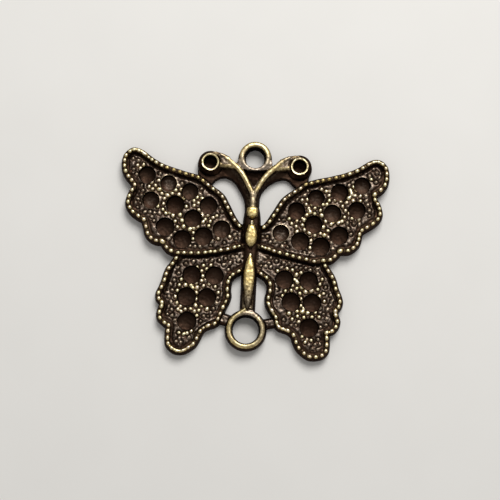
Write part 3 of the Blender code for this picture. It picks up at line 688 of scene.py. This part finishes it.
def grains(kinds, sockets, line, floor, random):
    """Grains of a wing as x, y, radius, rise and rub: the placed ones, then fine ones in between."""
    placed = []
    for spots, (radius, rise, rub) in zip(kinds, GRAIN_KINDS):
        placed += [(x, y, radius, random.uniform(*rise), random.uniform(*rub)) for x, y in spots]
    spots = staggered(line.min(axis=0), line.max(axis=0), GRAIN_PITCH)
    spots = spots + random.uniform(-GRAIN_JITTER, GRAIN_JITTER, (len(spots), 2))
    for (x, y), reach in zip(spots, outward(spots, line)):
        clear = all(math.dist((x, y), grain[:2]) > GRAIN_GAP for grain in placed)
        room = min(math.dist((x, y), socket[:2]) - socket[2] / 2 for socket in sockets)
        if clear and reach < -DITCH - GRAIN_RADIUS and room > GRAIN_RADIUS + SOCKET_CLEAR:
            placed.append((x, y, *(random.uniform(*span) for span in FINE_GRAIN)))
    domes = []
    for x, y, radius, rise, rub in placed:
        dim = rub < DIM_BELOW
        domes.append(dome(x, y, radius, floor, rise, rub, DIM_GREY * dim, DIM_BARE if dim else GRAIN_BARE))
    return domes, placed


class Wing(Form):
    """A dished wing: drafted wall, rim, a ditch, and a floor whose web rises between its grains."""

    def __init__(self, line, rim, cap, placed):
        self.line = line
        self.rim = rim
        self.cap = cap
        self.placed = placed
        super().__init__(None, [offset_loop(line, offset) for offset in WING_LINES])

    def look(self, points):
        rim, floor = self.rim, self.rim - FLOOR_DROP
        reach = outward(points, self.line)
        shade = np.zeros(len(points))
        rows = np.flatnonzero((reach < -RIM_HALF) & (reach > -SHADE_REACH))
        shade[rows] = ramp(outward(points[rows] + LAMP_STEP, self.line) - reach[rows], *SHADE_EDGES)
        profile = (
            (-DITCH - 0.12, floor), (-DITCH, floor - 0.06), (-DITCH_EDGE, rim - DITCH_DROP),
            (-0.48, rim - DITCH_DROP), (-0.4, rim - 0.35), (-RIM_HALF, rim - 0.08), (-0.22, rim),
            (0.24, rim), (0.36, rim - 0.06), (0.45, rim - 0.25), (WALL_FOOT, 0),
        )
        own = graded(reach, profile)
        own += (reach < -LIT_EDGE) * (1 - shade) * np.clip(floor + LIT_RISE - own, 0, 1)
        deep = np.flatnonzero(reach < -DITCH_EDGE)
        gap = np.full(len(deep), np.inf)
        for x, y, radius, *_ in self.placed:
            gap = np.minimum(gap, np.hypot(*(points[deep] - (x, y)).T) - radius)
        web = np.zeros(len(points))
        web[deep] = ramp(gap, *MOAT)
        web[deep] *= ramp(-reach[deep], DITCH_EDGE, DITCH + WEB_SLOPE)
        own += WEB_RISE * web
        own = np.where(reach > WALL_FOOT, NOTHING, np.minimum(own, graded(abs(points[:, 0]), self.cap)))
        # The ditch is painted lighter, more rust-brown and less sooty where the lamp reaches it: painted
        # light, with a painted warm reflection in its rust-brown.
        ditch = (reach < -0.3) * ramp(reach, -SHADE_REACH, -DITCH) * (1 - SHADE_LOSS * shade)
        rubbed = WEB_RUB * web + RIM_RUB * (abs(reach) < RIM_HALF) + LIT_DITCH_RUB * ditch
        grey = np.where(reach < -RIM_HALF, 1, 0.3)
        wall = np.where(reach > 0.3, 1 - ramp(own, *WING_RUST_AND_REFLECTION_FADE), 0.3 * ditch)
        rough = np.where(reach < -0.5, 1, 0.3)
        # A wing's floor is painted twice as sooty where the rim hides it from the lamp: painted shade.
        floor_soot = (FLOOR_SOOT_AND_SHADE + FLOOR_SOOT_AND_SHADE * shade) * (1 - LIT_DITCH_LIGHTENING * ditch)
        soot = np.where(reach < -RIM_HALF, floor_soot, RIM_SOOT)
        return own, np.column_stack((rubbed, grey, wall, rough, soot))


def wing(random, rim, cap, root, beads, sockets, bright, large, dim):
    """A wing with its grains, its beads and the lips of its sockets."""
    places = np.array([bead[:2] for bead in beads])
    line = curved([*places, *root], True)
    floor = rim - FLOOR_DROP
    forms, placed = grains((bright, large, dim), sockets, line, floor, random)
    forms.append(Wing(line, rim, cap, placed))
    for (x, y, *size), (across, up) in zip(beads, np.gradient(places, axis=0)):
        radius = size[0] if size else BEAD_RADIUS
        rise = BEAD_RISE * radius / BEAD_RADIUS * random.uniform(*BEAD_RISES)
        dull = y > DULL_ABOVE and abs(x) < DULL_WITHIN
        rub = random.uniform(*BEAD_RUBS) - DULL_LOSS * dull
        forms.append(dome(x, y, radius, rim - 0.02, rise, rub, 0, BEAD_BARE, math.atan2(up, across)))
    for x, y, bore, rub in sockets:
        bright_lip = rub > LIP_BRIGHT
        lip = floor + WEB_RISE + (LIP_PROUD if bright_lip else LIP_LOW)
        inner, outer = bore / 2, bore / 2 + LIP_WIDTH
        ring = over(lip, ((0, -0.1), (inner, -0.1), (inner + 0.08, 0), (outer - 0.06, -0.03)))
        forms.append(turned((x, y), (*ring, (outer, floor)), SOCKET_STEPS, rub=(rub, lip - 0.12, lip),
                            grey=0.8, soot=0.3 if bright_lip else 0.8))
    return forms


def plate(outline, top, draft=0.3, **finish):
    """A flat arm or web with drafted, softened edges."""
    loop = finely(outline, True)
    flat = -draft - 0.12
    profile = ((flat, top), (-draft, top - 0.05), (-draft + 0.05, top - 0.2), (0, 0))

    def height(points):
        reach = outward(points, loop)
        return np.where(reach > 0, NOTHING, graded(reach, profile))

    return Form(height, [offset_loop(loop, offset) for offset in (0, -draft, flat)], **finish)


def antenna(crest, branch, outline):
    """An antenna: an arm whose hollow flanks rise to a rubbed crest, with a second crest at its cup."""
    crest = curved(crest)
    loop = finely(outline, True)
    flank = ((0, 2.9), (0.3, 2.86), (0.45, 2.66), (0.65, 2.35), (0.95, 2), (1.4, 1.7), (2, 1.5), (4, 1.4))
    edge = ((-0.9, 3.4), (-0.34, 2.2), (-0.24, 1.9), (0, 0))

    def height(points):
        reach = outward(points, loop)
        rise = np.minimum(graded(nearest(points, crest, False), flank), graded(reach, edge))
        return np.where(reach > 0, NOTHING, rise)

    width = joined(np.multiply, by_y((5.2, 0.45), (6, 0.6), (7.1, 0.92), (8.4, 1), (10.5, 1.05)),
                   by_side((4.8, 1), (6.2, 0.55)))
    fade = joined(np.multiply, by_y((5, 0.75), (7.8, 0.7), (8.8, 1)),
                  by_side((0, 1), (3.2, 1), (5, 0.75), (6.6, 0.42)))
    grey = joined(np.maximum, by_y((5, 0.6), (7.6, 0.8), (8.6, 0.2)), by_side((2.5, 0), (6, 0.75)))
    top = over(ANTENNA_TOP, CREST)
    low = over(-BRANCH_DROP, top)
    top_rub = (0.9, ANTENNA_TOP - 0.32, ANTENNA_TOP - 0.05)
    low_rub = (0.75, ANTENNA_TOP - 0.6, ANTENNA_TOP - 0.15)
    return [
        Form(height, [offset_loop(loop, offset) for offset in (0, -0.12, -0.24)], [crest],
             rub=(0.32, 1.2, 2.8), grey=0.8, wall=0.2, soot=0.5),
        ridge(crest, top, CREST_LINES, width, rub=top_rub, fade=fade, grey=grey),
        ridge(curved(branch), low, CREST_LINES, rub=low_rub, fade=fade, grey=0.3),
    ]


def shaft():
    """The long bar under head, thorax and abdomen."""
    top = over(SHAFT_TOP, ((0, 0), (0.55, 0), (0.85, -0.12), (1.08, -0.45), (1.16, -0.75)))
    steps = math.ceil((SHAFT_TIP - SHAFT_TAIL) / LINE_STEP)
    centre_line = [(0, place) for place in np.linspace(SHAFT_TIP, SHAFT_TAIL, steps)]
    right = (0.55, 0.85, 1.08, 1.16, 1.28, SHAFT_HALF)
    shown = (*(-offset for offset in right[::-1]), *right)
    width = by_y((-4.5, 1), (1.5, 1.2), (3.4, 1.12), (4.4, 1.02), (5.4, 0.86), (6.5, 0.8))
    soot = by_y((-10.5, 0), (-8.5, 0.6), (-2.4, 0.6), (-1, 0.2), (1.4, 0.2), (2.2, 0.6), (3.4, 0.6),
                (5, 0.1))
    return ridge(centre_line, (*top, (SHAFT_HALF, 0)), shown, width, fade=by_y((-10.8, 1), (-8.5, 0.1)),
                 rub=(0.42, SHAFT_TOP - 0.7, SHAFT_TOP), grey=0.7, wall=0.8, soot=soot)


def thorax_fade(points):
    """The thorax is less bright on its left, along a line that leans, and at its tail."""
    side = points[:, 0] - THORAX_LEAN * points[:, 1]
    left = graded(side, ((-0.9, 0.5), (-0.55, 1), (1, 1)))
    return left * graded(points[:, 1], ((-2, 0.2), (-1.45, 1)))


def loop_bar(centre, hole, width, top, flat, grey):
    """The rounded bar round a jump ring hole."""
    inner = hole / 2
    outer = inner + width
    edge = inner + flat
    crown = over(top, (
        (0, -0.4), (inner, -0.26), (inner + 0.05, -0.12), (inner + 0.14, -0.03), (inner + 0.28, 0),
        (edge, -0.02), (edge + 0.18, -0.11), (edge + 0.31, -0.3), (outer - 0.17, -0.65),
    ))
    profile = (*crown, (outer - 0.1, top / 2), (outer, 0))
    return turned(centre, profile, BAR_STEPS, rub=(0.9, top - 0.4, top - 0.07), wall=1, grey=grey)


def cup(centre):
    """The body of a cup at the end of an antenna, with its bright lip."""
    lip = CUP_BORE + CUP_LIP
    side = lip + CUP_SIDE
    crown = over(CUP_TOP, ((0, -0.1), (CUP_BORE, -0.08), (CUP_BORE + 0.07, 0), (lip - 0.08, 0),
                           (lip, -0.14)))
    wall = over(CUP_SHOULDER, ((lip + 0.16, 0.35), (side - 0.16, 0.08), (side, -0.15)))
    profile = (*crown, *wall, (side + 0.07, CUP_SHOULDER / 2), (side + CUP_FOOT, 0))
    return turned(centre, profile, CUP_STEPS, rub=(0.91, CUP_TOP - 0.12, CUP_TOP - 0.03), wall=1.3)


def body():
    """The shaft with head, thorax and abdomen, and the thin lines that join these."""
    neck = over(SHAFT_TOP, ((0, 0.46), (0.16, 0.44), (0.26, 0.3), (0.36, 0)))
    neck_width = by_y((-3.8, 1.3), (-3.1, 1), (1.9, 1), (2.7, 0.7))
    tail_fade = by_y((-12.6, 0.5), (-10.2, 0.5), (-8.8, 0.65), (-7.6, 1))
    tail_grey = by_y((-11.5, 0.8), (-8, 0))
    return [
        shaft(),
        spindle(HEAD, 1.15, rub=(0.86, SHAFT_TOP + 0.18, SHAFT_TOP + 0.65)),
        spindle(THORAX, 1.1, rub=(0.86, SHAFT_TOP + 0.34, SHAFT_TOP + 0.8), fade=thorax_fade),
        spindle(ABDOMEN, 0.95, rub=(0.86, SHAFT_TOP + 0.25, SHAFT_TOP + 0.7), fade=tail_fade,
                grey=tail_grey),
        *(ridge(finely(line, False), neck, (-0.22, -0.1, 0.1, 0.22), neck_width,
                rub=(0.95, SHAFT_TOP + 0.1, SHAFT_TOP + 0.3), grey=0.2) for line in NECK_LINES),
    ]


def flats():
    """Gussets, flats, shoulders and webs that join the antennae, the loops and the wings."""
    leg = over(RING_TOP, ((0, 0.04), (0.12, 0.03), (0.24, -0.08), (0.4, -0.42)))
    return [
        *(plate(gusset, FLAT_TOP + 0.1, 0.12, rub=(0.22, 1.8, FLAT_TOP), grey=0.4, wall=1, soot=0.1)
          for gusset in (LEFT_GUSSET, RIGHT_GUSSET)),
        *(plate(flat, FLAT_TOP + 0.32, 0.1, rub=(0.37, FLAT_TOP, FLAT_TOP + 0.3), grey=0.9)
          for flat in (LEFT_FLAT, RIGHT_FLAT)),
        plate(LOOP_SHOULDERS, FLAT_TOP + 0.2, 0.15, rub=(0.78, FLAT_TOP, FLAT_TOP + 0.2), grey=1),
        plate(RING_SHOULDERS, RING_TOP - 0.35, rub=(0.12, 1.8, RING_TOP - 0.3), soot=0),
        plate(RING_FLAT, RING_TOP - 0.06, 0.12, rub=(0.42, RING_TOP - 0.3, RING_TOP - 0.1), grey=1),
        *(plate(web, RING_WEB_TOP, 0.45, rub=(0.38, RING_WEB_TOP - 0.05, RING_WEB_TOP), grey=1,
                wall=0.3, rough=1) for web in (LEFT_RING_WEB, RIGHT_RING_WEB)),
        plate(FORK_WEB, FORK_WEB_TOP, rub=(0.05, 0, FORK_WEB_TOP), grey=1, soot=1),
        ridge(curved(RING_LEG), leg, (-0.24, -0.12, 0.12, 0.24), rub=(0.9, RING_TOP - 0.15, RING_TOP),
              grey=0.1),
    ]


def relief():
    """All forms of the casting, the bores that are cut into them, and the pits.

    A bore is its middle, radius, draft, web, rise of its seat, steps round it and shine.
    """
    random = np.random.default_rng(SEED)
    forms = []
    bores = []
    for table in WINGS:
        forms += wing(random, **table)
        bores += [((x, y), bore / 2 + SOCKET_EASE, SOCKET_DRAFT, SOCKET_WEB, SEAT_RISE, SOCKET_STEPS,
                   0.08 + 0.15 * rub) for x, y, bore, rub in table["sockets"]]
    for crest in INNER_RIDGES:
        top = (UPPER_RIM if crest[0][1] > -3 else LOWER_RIM) - FLOOR_DROP + WEB_RISE
        forms.append(bar(crest, 0.15, top, 0.18, rub=(0.55, top + 0.02, top + 0.14), grey=1))
    for crest in RUNS:
        rim = UPPER_RIM if crest[0][1] > 0 else LOWER_RIM
        forms.append(bar(crest, 0.26, rim - 0.05, 0.4, rub=(0.95, rim + 0.1, rim + 0.3)))
    forms += body()
    forms += antenna(LEFT_CREST, LEFT_BRANCH, LEFT_ARM)
    forms += antenna(RIGHT_CREST, RIGHT_BRANCH, RIGHT_ARM)
    forms += flats()

    # The top loop is brass above and ashen below, and the ring is ashen on the right and at the top
    loop_grey = by_y((12.6, 0.95), (14, 0.6), (15.2, 0.15), (17, 0))
    ring_grey = joined(np.maximum, by_x((-2, 0), (1, 0.25), (3, 0.55)), by_y((-15.2, 0), (-14.2, 0.8)))
    forms.append(loop_bar(LOOP_CENTRE, LOOP_HOLE, LOOP_BAR, LOOP_TOP, 0.55, loop_grey))
    forms.append(loop_bar(RING_CENTRE, RING_HOLE, RING_BAR, RING_TOP, 0.5, ring_grey))
    bores.append((LOOP_CENTRE, LOOP_HOLE / 2, HOLE_DRAFT, NOTHING, 0, 96, 0))
    bores.append((RING_CENTRE, RING_HOLE / 2, HOLE_DRAFT, NOTHING, 0, BAR_STEPS, 0))
    for centre in CUPS:
        forms.append(cup(centre))
        bores.append((centre, CUP_BORE, CUP_DRAFT, CUP_WEB, 0.15, CUP_STEPS, 0))
    return forms, bores, [(finely(FORK_PIT, True), FORK_WEB_TOP, 0.16)]


def surface(points, forms, bores, pits):
    """Height of the finished relief over each point of the plan, and its five finishes."""
    height = np.full(len(points), NOTHING)
    paint = np.zeros((len(points), 5))
    for form in forms:
        rows = np.flatnonzero(((points >= form.low) & (points <= form.high)).all(axis=1))
        if not len(rows):
            continue
        own, finish = form.look(points[rows])
        wins = own > height[rows]
        height[rows[wins]] = own[wins]
        paint[rows[wins]] = finish[wins]
    # Each pit is painted near black, its patina deepened as painted shade, and rubbed a little lighter
    # towards its lower end.
    for loop, floor, draft in pits:
        box = (points > loop.min(axis=0)) & (points < loop.max(axis=0))
        rows = np.flatnonzero(box.all(axis=1) & (height > floor))
        share = np.clip(-outward(points[rows], loop) / draft, 0, 1)
        height[rows] += (floor - height[rows]) * share
        paint[rows, RUB] *= 1 - np.clip(3 * share, 0, 1)
        paint[rows, RUB] += 0.36 * share * ramp(-points[rows, 1], -11, -9.6)
        for column, level in ((GREY, 1), (ROUGH, 1), (SOOT_AND_SHADE, 0.95)):
            paint[rows, column] = np.maximum(paint[rows, column], level * share)
    for centre, radius, draft, web, seat, _, shine in bores:
        reach = np.hypot(*(points - centre).T)
        rows = np.flatnonzero(reach < radius)
        reach = reach[rows]
        foot = radius - draft
        floor = max(web, 0) + seat
        wall = floor + (height[rows] - floor) * np.clip((reach - foot) / draft, 0, 1)
        bottom = web + seat * np.clip(reach / foot, 0, 1) ** 2
        height[rows] = np.minimum(height[rows], np.where(reach < foot - 1e-6, bottom, wall))
        paint[rows, RUB] *= ramp(reach, radius - BORE_EDGE, radius)
        paint[rows, RUB] += shine * ramp(-reach, -foot, -0.5 * foot)
        paint[rows, GREY] = np.where(reach < foot, 1, paint[rows, GREY])
        paint[rows, WALL] = 0
        paint[rows, ROUGH] = np.where(reach < foot, 0.6, 0.2)
        paint[rows, SOOT_AND_SHADE] = 0.95 - 1.5 * shine
    return height, paint


def plan_lines(forms, bores, pits):
    """Points and edges of the plan that the mesh has to follow, without the buried ones."""
    paths = [(path, closed) for form in forms for path, closed in form.paths]
    own = np.concatenate([form.look(path)[0] for form in forms for path, _ in form.paths])
    shown = abs(surface(np.vstack([path for path, _ in paths]), forms, bores, pits)[0] - own) < SEAM
    for loop, _, draft in pits:
        paths += [(loop, True), (offset_loop(loop, -draft), True)]
    for centre, radius, draft, _, seat, steps, _ in bores:
        reaches = [radius, radius - BORE_EDGE, radius - draft]
        reaches += [radius * 0.6, radius * 0.3] if seat else []
        paths += [(circle(centre, reach, steps), True) for reach in reaches]
    points = np.vstack([path for path, _ in paths])
    shown = np.append(shown, np.ones(len(points) - len(shown), bool))
    spans = []
    first = 0
    for path, closed in paths:
        rows = first + np.arange(len(path))
        first += len(path)
        pairs = np.column_stack((rows, np.roll(rows, -1)))
        spans.append(pairs if closed else pairs[:-1])
    spans = np.vstack(spans)
    spans = spans[shown[spans].any(axis=1) & (spans[:, 0] != spans[:, 1])]
    kept = np.union1d(spans, np.flatnonzero(shown))
    return points[kept], np.searchsorted(kept, spans)


def filling(lines, forms, bores, pits):
    """Points in staggered rows over the casting, clear of the drawn lines."""
    low, high = lines.min(axis=0), lines.max(axis=0)
    cell = 0.5 * FILL_STEP
    taken = np.zeros(np.ceil((high - low) / cell).astype(int) + 4, bool)
    places = ((lines - low) / cell).astype(int) + 1
    for shift in np.ndindex(3, 3):
        taken[tuple((places + shift - 1).T)] = True
    spots = staggered(low, high, FILL_STEP)
    spots = spots[~taken[tuple((((spots - low) / cell).astype(int) + 1).T)]]
    return spots[surface(spots, forms, bores, pits)[0] > 0.1]


def triangles(points, edges, spacing):
    """Triangles between the points that keep to the edges: their corners and their plan."""
    plan, _, faces = delaunay_2d_cdt([tuple(point) for point in points], edges, [], 0, spacing)[:3]
    return np.array([tuple(point) for point in plan]), np.array([tuple(face) for face in faces])


def border(faces):
    """Sides that belong to one face alone."""
    sides = np.vstack((faces[:, (0, 1)], faces[:, (1, 2)], faces[:, (2, 0)]))
    size = int(faces.max()) + 1
    forth = sides[:, 0] * size + sides[:, 1]
    back = sides[:, 1] * size + sides[:, 0]
    return sides[~np.isin(forth, back)]


def casting():
    """The closed casting with its finishes painted on the points."""
    shape = relief()
    lines, edges = plan_lines(*shape)
    fill = filling(lines, *shape)
    plan, faces = triangles(np.vstack((lines, fill)), edges.tolist(), SEAM)
    front = faces[surface(plan[faces].mean(axis=1), *shape)[0] > 0]
    outline = border(front)
    while (flat := np.isin(front, outline).all(axis=1)).any():
        front = front[~flat]
        outline = border(front)
    corners = np.unique(outline)

    height, paint = surface(plan, *shape)
    swell = np.array([noise.noise((x * SWELL_SCALE, y * SWELL_SCALE, 0)) for x, y in plan])
    lumps = np.array([noise.noise((x * LUMP_SCALE, y * LUMP_SCALE, 5)) for x, y in plan])
    uneven = SWELL * swell + (LUMP + ROUGH_LUMP * paint[:, ROUGH]) * lumps
    height += uneven * ramp(height, 0.3, 1.2)
    height = np.clip(height, 0.02, CAD_HIGH.z / MM)
    height[corners] = 0
    paint[:, RUB] += LUMP_PAINT * (paint[:, ROUGH] > 0.9) * np.clip(lumps, *LUMP_RANGE)

    foot, back = triangles(plan[corners], np.searchsorted(corners, outline).tolist(), FOOT_SEAM)
    back = back[inside(foot[back].mean(axis=1), *plan[outline].transpose(1, 0, 2))]

    used, place = np.unique(np.concatenate((front, corners[back][:, ::-1])), return_inverse=True)
    place = place.reshape(-1, 3)
    vertices = np.clip(np.column_stack((plan, height))[used] * MM, CAD_LOW, CAD_HIGH)
    mesh = bpy.data.meshes.new("casting")
    mesh.from_pydata(vertices.tolist(), [], place.tolist())
    paint = np.clip(paint[used], 0, 1).astype(np.float32)
    finish = mesh.color_attributes.new("finish", "FLOAT_COLOR", "POINT")
    finish.data.foreach_set("color", paint[:, :SOOT_AND_SHADE].ravel())
    soot = mesh.attributes.new("soot", "FLOAT", "POINT")
    soot.data.foreach_set("value", paint[:, SOOT_AND_SHADE].copy())
    lay_out(mesh, vertices, place, len(front))
    mesh.shade_smooth()
    mesh.set_sharp_from_angle(angle=math.radians(SHARP))
    mesh.materials.append(antique_bronze())
    return stood("antique_bronze_casting", mesh)


def lay_out(mesh, vertices, faces, fronts):
    """Lays the front flat over most of the texture and the back in the strip below it."""
    layer = mesh.uv_layers.new(name="OFBake")
    low, high = vertices.min(axis=0), vertices.max(axis=0)
    corners = ((vertices[:, :2] - low[:2]) / (high[:2] - low[:2]))[faces]
    corners[:fronts, :, 1] = 0.2 + 0.79 * corners[:fronts, :, 1]
    corners[fronts:, :, 1] = 0.01 + 0.17 * corners[fronts:, :, 1]
    corners[..., 0] = 0.005 + 0.99 * corners[..., 0]
    layer.data.foreach_set("uv", corners.astype(np.float32).ravel())


class Nodes:
    """Short hand for building a material's nodes."""

    def __init__(self, name):
        self.material = bpy.data.materials.new(name)
        self.material.use_nodes = True
        self.tree = self.material.node_tree
        self.shader = self.tree.nodes["Principled BSDF"]

    def connect(self, source, socket):
        """Sets a socket to a value, or links it to another node's socket."""
        if isinstance(source, bpy.types.NodeSocket):
            self.tree.links.new(source, socket)
        else:
            socket.default_value = source

    def shade(self, **sources):
        """Connects the shader's sockets, named with low lines for spaces."""
        for name, source in sources.items():
            self.connect(source, self.shader.inputs[name.replace("_", " ")])

    def add(self, kind, links=(), **values):
        node = self.tree.nodes.new(kind)
        for name, value in values.items():
            setattr(node, name, value)
        for place, source in dict(links).items():
            self.connect(source, node.inputs[place])
        return node

    def maths(self, operation, *sources):
        return self.add("ShaderNodeMath", enumerate(sources), operation=operation).outputs[0]

    def noise(self, place, scale, detail=3, roughness=0.55):
        links = {"Vector": place, "Scale": scale, "Detail": detail, "Roughness": roughness}
        return self.add("ShaderNodeTexNoise", links).outputs["Fac"]

    def mix(self, share, first, second):
        links = {0: share, 6: first, 7: second}
        return self.add("ShaderNodeMix", links, data_type="RGBA").outputs[2]

    def remap(self, source, low, high, to_low=0, to_high=1):
        links = {"Value": source, "From Min": low, "From Max": high, "To Min": to_low, "To Max": to_high}
        return self.add("ShaderNodeMapRange", links, interpolation_type="SMOOTHSTEP").outputs["Result"]

    def drift(self, source, low, high, first, second):
        """A colour that goes from one tone to another as its source rises."""
        return self.mix(self.remap(source, low, high), (*first, 1), (*second, 1))


def antique_bronze():
    """Brown black patina, worn through to brass where the relief stands proud.

    The most rubbed crowns turn pale: a painted highlight.
    """
    nodes = Nodes("antique_bronze")
    place = nodes.add("ShaderNodeTexCoord").outputs["Object"]
    finish = nodes.add("ShaderNodeAttribute", attribute_name="finish").outputs["Color"]
    rubbed, grey, wall = nodes.add("ShaderNodeSeparateColor", {"Color": finish}).outputs
    fine = nodes.noise(place, 9000, 4, 0.6)
    patch = nodes.noise(place, 2200, 3)
    broad = nodes.noise(place, 420, 2)

    speckle = nodes.maths("MULTIPLY_ADD", fine, 0.7, nodes.maths("MULTIPLY_ADD", patch, 0.7, -0.7))
    speckle = nodes.maths("MULTIPLY", speckle, nodes.remap(rubbed, 0, 0.35, 0.1, 1))
    bare = nodes.remap(nodes.maths("ADD", rubbed, speckle), 0.08, 0.72)

    patina = nodes.drift(broad, 0.35, 0.65, (0.0365, 0.019, 0.0115), (0.071, 0.043, 0.028))
    soot = nodes.add("ShaderNodeAttribute", attribute_name="soot").outputs["Fac"]
    black = nodes.maths("MULTIPLY", soot, 0.95)
    patina = nodes.mix(black, patina, (0.0138, 0.0071, 0.0044, 1))
    # Rust on the walls, partly a painted warm reflection.
    rust_and_reflection = nodes.drift(patch, 0.3, 0.7, (0.05, 0.0235, 0.013), (0.102, 0.056, 0.034))
    patina = nodes.mix(nodes.maths("MULTIPLY", wall, 0.7), patina, rust_and_reflection)
    brass = nodes.drift(patch, 0.38, 0.62, (0.52, 0.375, 0.14), (0.84, 0.67, 0.31))
    # Pale tone that the most rubbed crowns turn to: a painted highlight.
    pale = nodes.drift(broad, 0.4, 0.6, (1, 0.92, 0.6), (1, 0.85, 0.65))
    ash = nodes.drift(patch, 0.35, 0.65, (0.198, 0.155, 0.118), (0.465, 0.375, 0.295))
    brass = nodes.mix(nodes.remap(rubbed, 0.88, 0.94), brass, pale)

    dull = nodes.remap(patch, 0.3, 0.7, 0.36, 0.5)
    worn = nodes.remap(fine, 0.3, 0.7, 0.32, 0.48)
    relief_height = nodes.maths("MULTIPLY_ADD", fine, 0.4, patch)
    bump = nodes.add("ShaderNodeBump", {"Strength": 0.35, "Distance": 0.00006, "Height": relief_height})
    nodes.shade(
        Base_Color=nodes.mix(bare, patina, nodes.mix(grey, brass, ash)),
        Roughness=nodes.add("ShaderNodeMix", {0: bare, 2: dull, 3: worn}).outputs[0],
        Metallic=nodes.remap(bare, 0, 0.5, 0.88, 1),
        Specular_Tint=nodes.mix(bare, (0.16, 0.12, 0.1, 1), (1, 0.95, 0.85, 1)),
        Normal=bump.outputs["Normal"],
    )
    return nodes.material


def stood(name, data):
    """A new object in the scene."""
    thing = bpy.data.objects.new(name, data)
    bpy.context.scene.collection.objects.link(thing)
    return thing


def pale_floor():
    """A plain pale floor just under the charm."""
    nodes = Nodes("pale_floor")
    tone = nodes.noise(nodes.add("ShaderNodeTexCoord").outputs["Object"], 60, 2)
    nodes.shade(Base_Color=nodes.mix(tone, (0.76, 0.74, 0.7, 1), (0.8, 0.78, 0.74, 1)), Roughness=0.7)
    mesh = bpy.data.meshes.new("floor")
    half = 3
    corners = [(-half, -half, 0), (half, -half, 0), (half, half, 0), (-half, half, 0)]
    mesh.from_pydata(corners, [], [(0, 1, 2, 3)])
    mesh.materials.append(nodes.material)
    floor = stood("floor", mesh)
    floor.location.z = -0.00002
    return floor


def studio():
    """Soft light from the antennae's side, and an even pale surround."""
    world = bpy.data.worlds.new("studio")
    world.use_nodes = True
    surround = world.node_tree.nodes["Background"].inputs
    surround["Color"].default_value = (1, 1, 1, 1)
    surround["Strength"].default_value = SURROUND
    bpy.context.scene.world = world
    light = bpy.data.lights.new("softbox", "AREA")
    light.size = LAMP_SIZE
    light.energy = LAMP_POWER
    softbox = stood("softbox", light)
    softbox.location = LAMP_PLACE
    softbox.rotation_euler = (-Vector(LAMP_PLACE)).to_track_quat("-Z", "Y").to_euler()


def camera():
    """The view of the photograph: from above, a little from the tail's side, and rolled."""
    view = bpy.data.cameras.new("camera")
    view.lens = view.sensor_width * CAMERA_REACH / PICTURE_WIDTH
    view.clip_start = 0.01
    eye = stood("camera", view)
    aim = Vector((*PICTURE_CENTRE, UPPER_RIM)) * MM
    tilt = math.radians(CAMERA_TILT)
    roll = math.radians(PICTURE_ROLL)
    back = Vector((0, -math.sin(tilt), math.cos(tilt)))
    up = Vector((-math.sin(roll), math.cos(roll), 0))
    up = (up - back * up.dot(back)).normalized()
    turn = Matrix((up.cross(back), up, back)).transposed().to_4x4()
    eye.matrix_world = Matrix.Translation(aim + back * CAMERA_REACH * MM) @ turn
    bpy.context.scene.camera = eye


camera()
studio()
ground = pale_floor()

charm = casting()
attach(charm, "root")
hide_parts(NODE)

bpy.context.scene.view_settings.view_transform = "Standard"
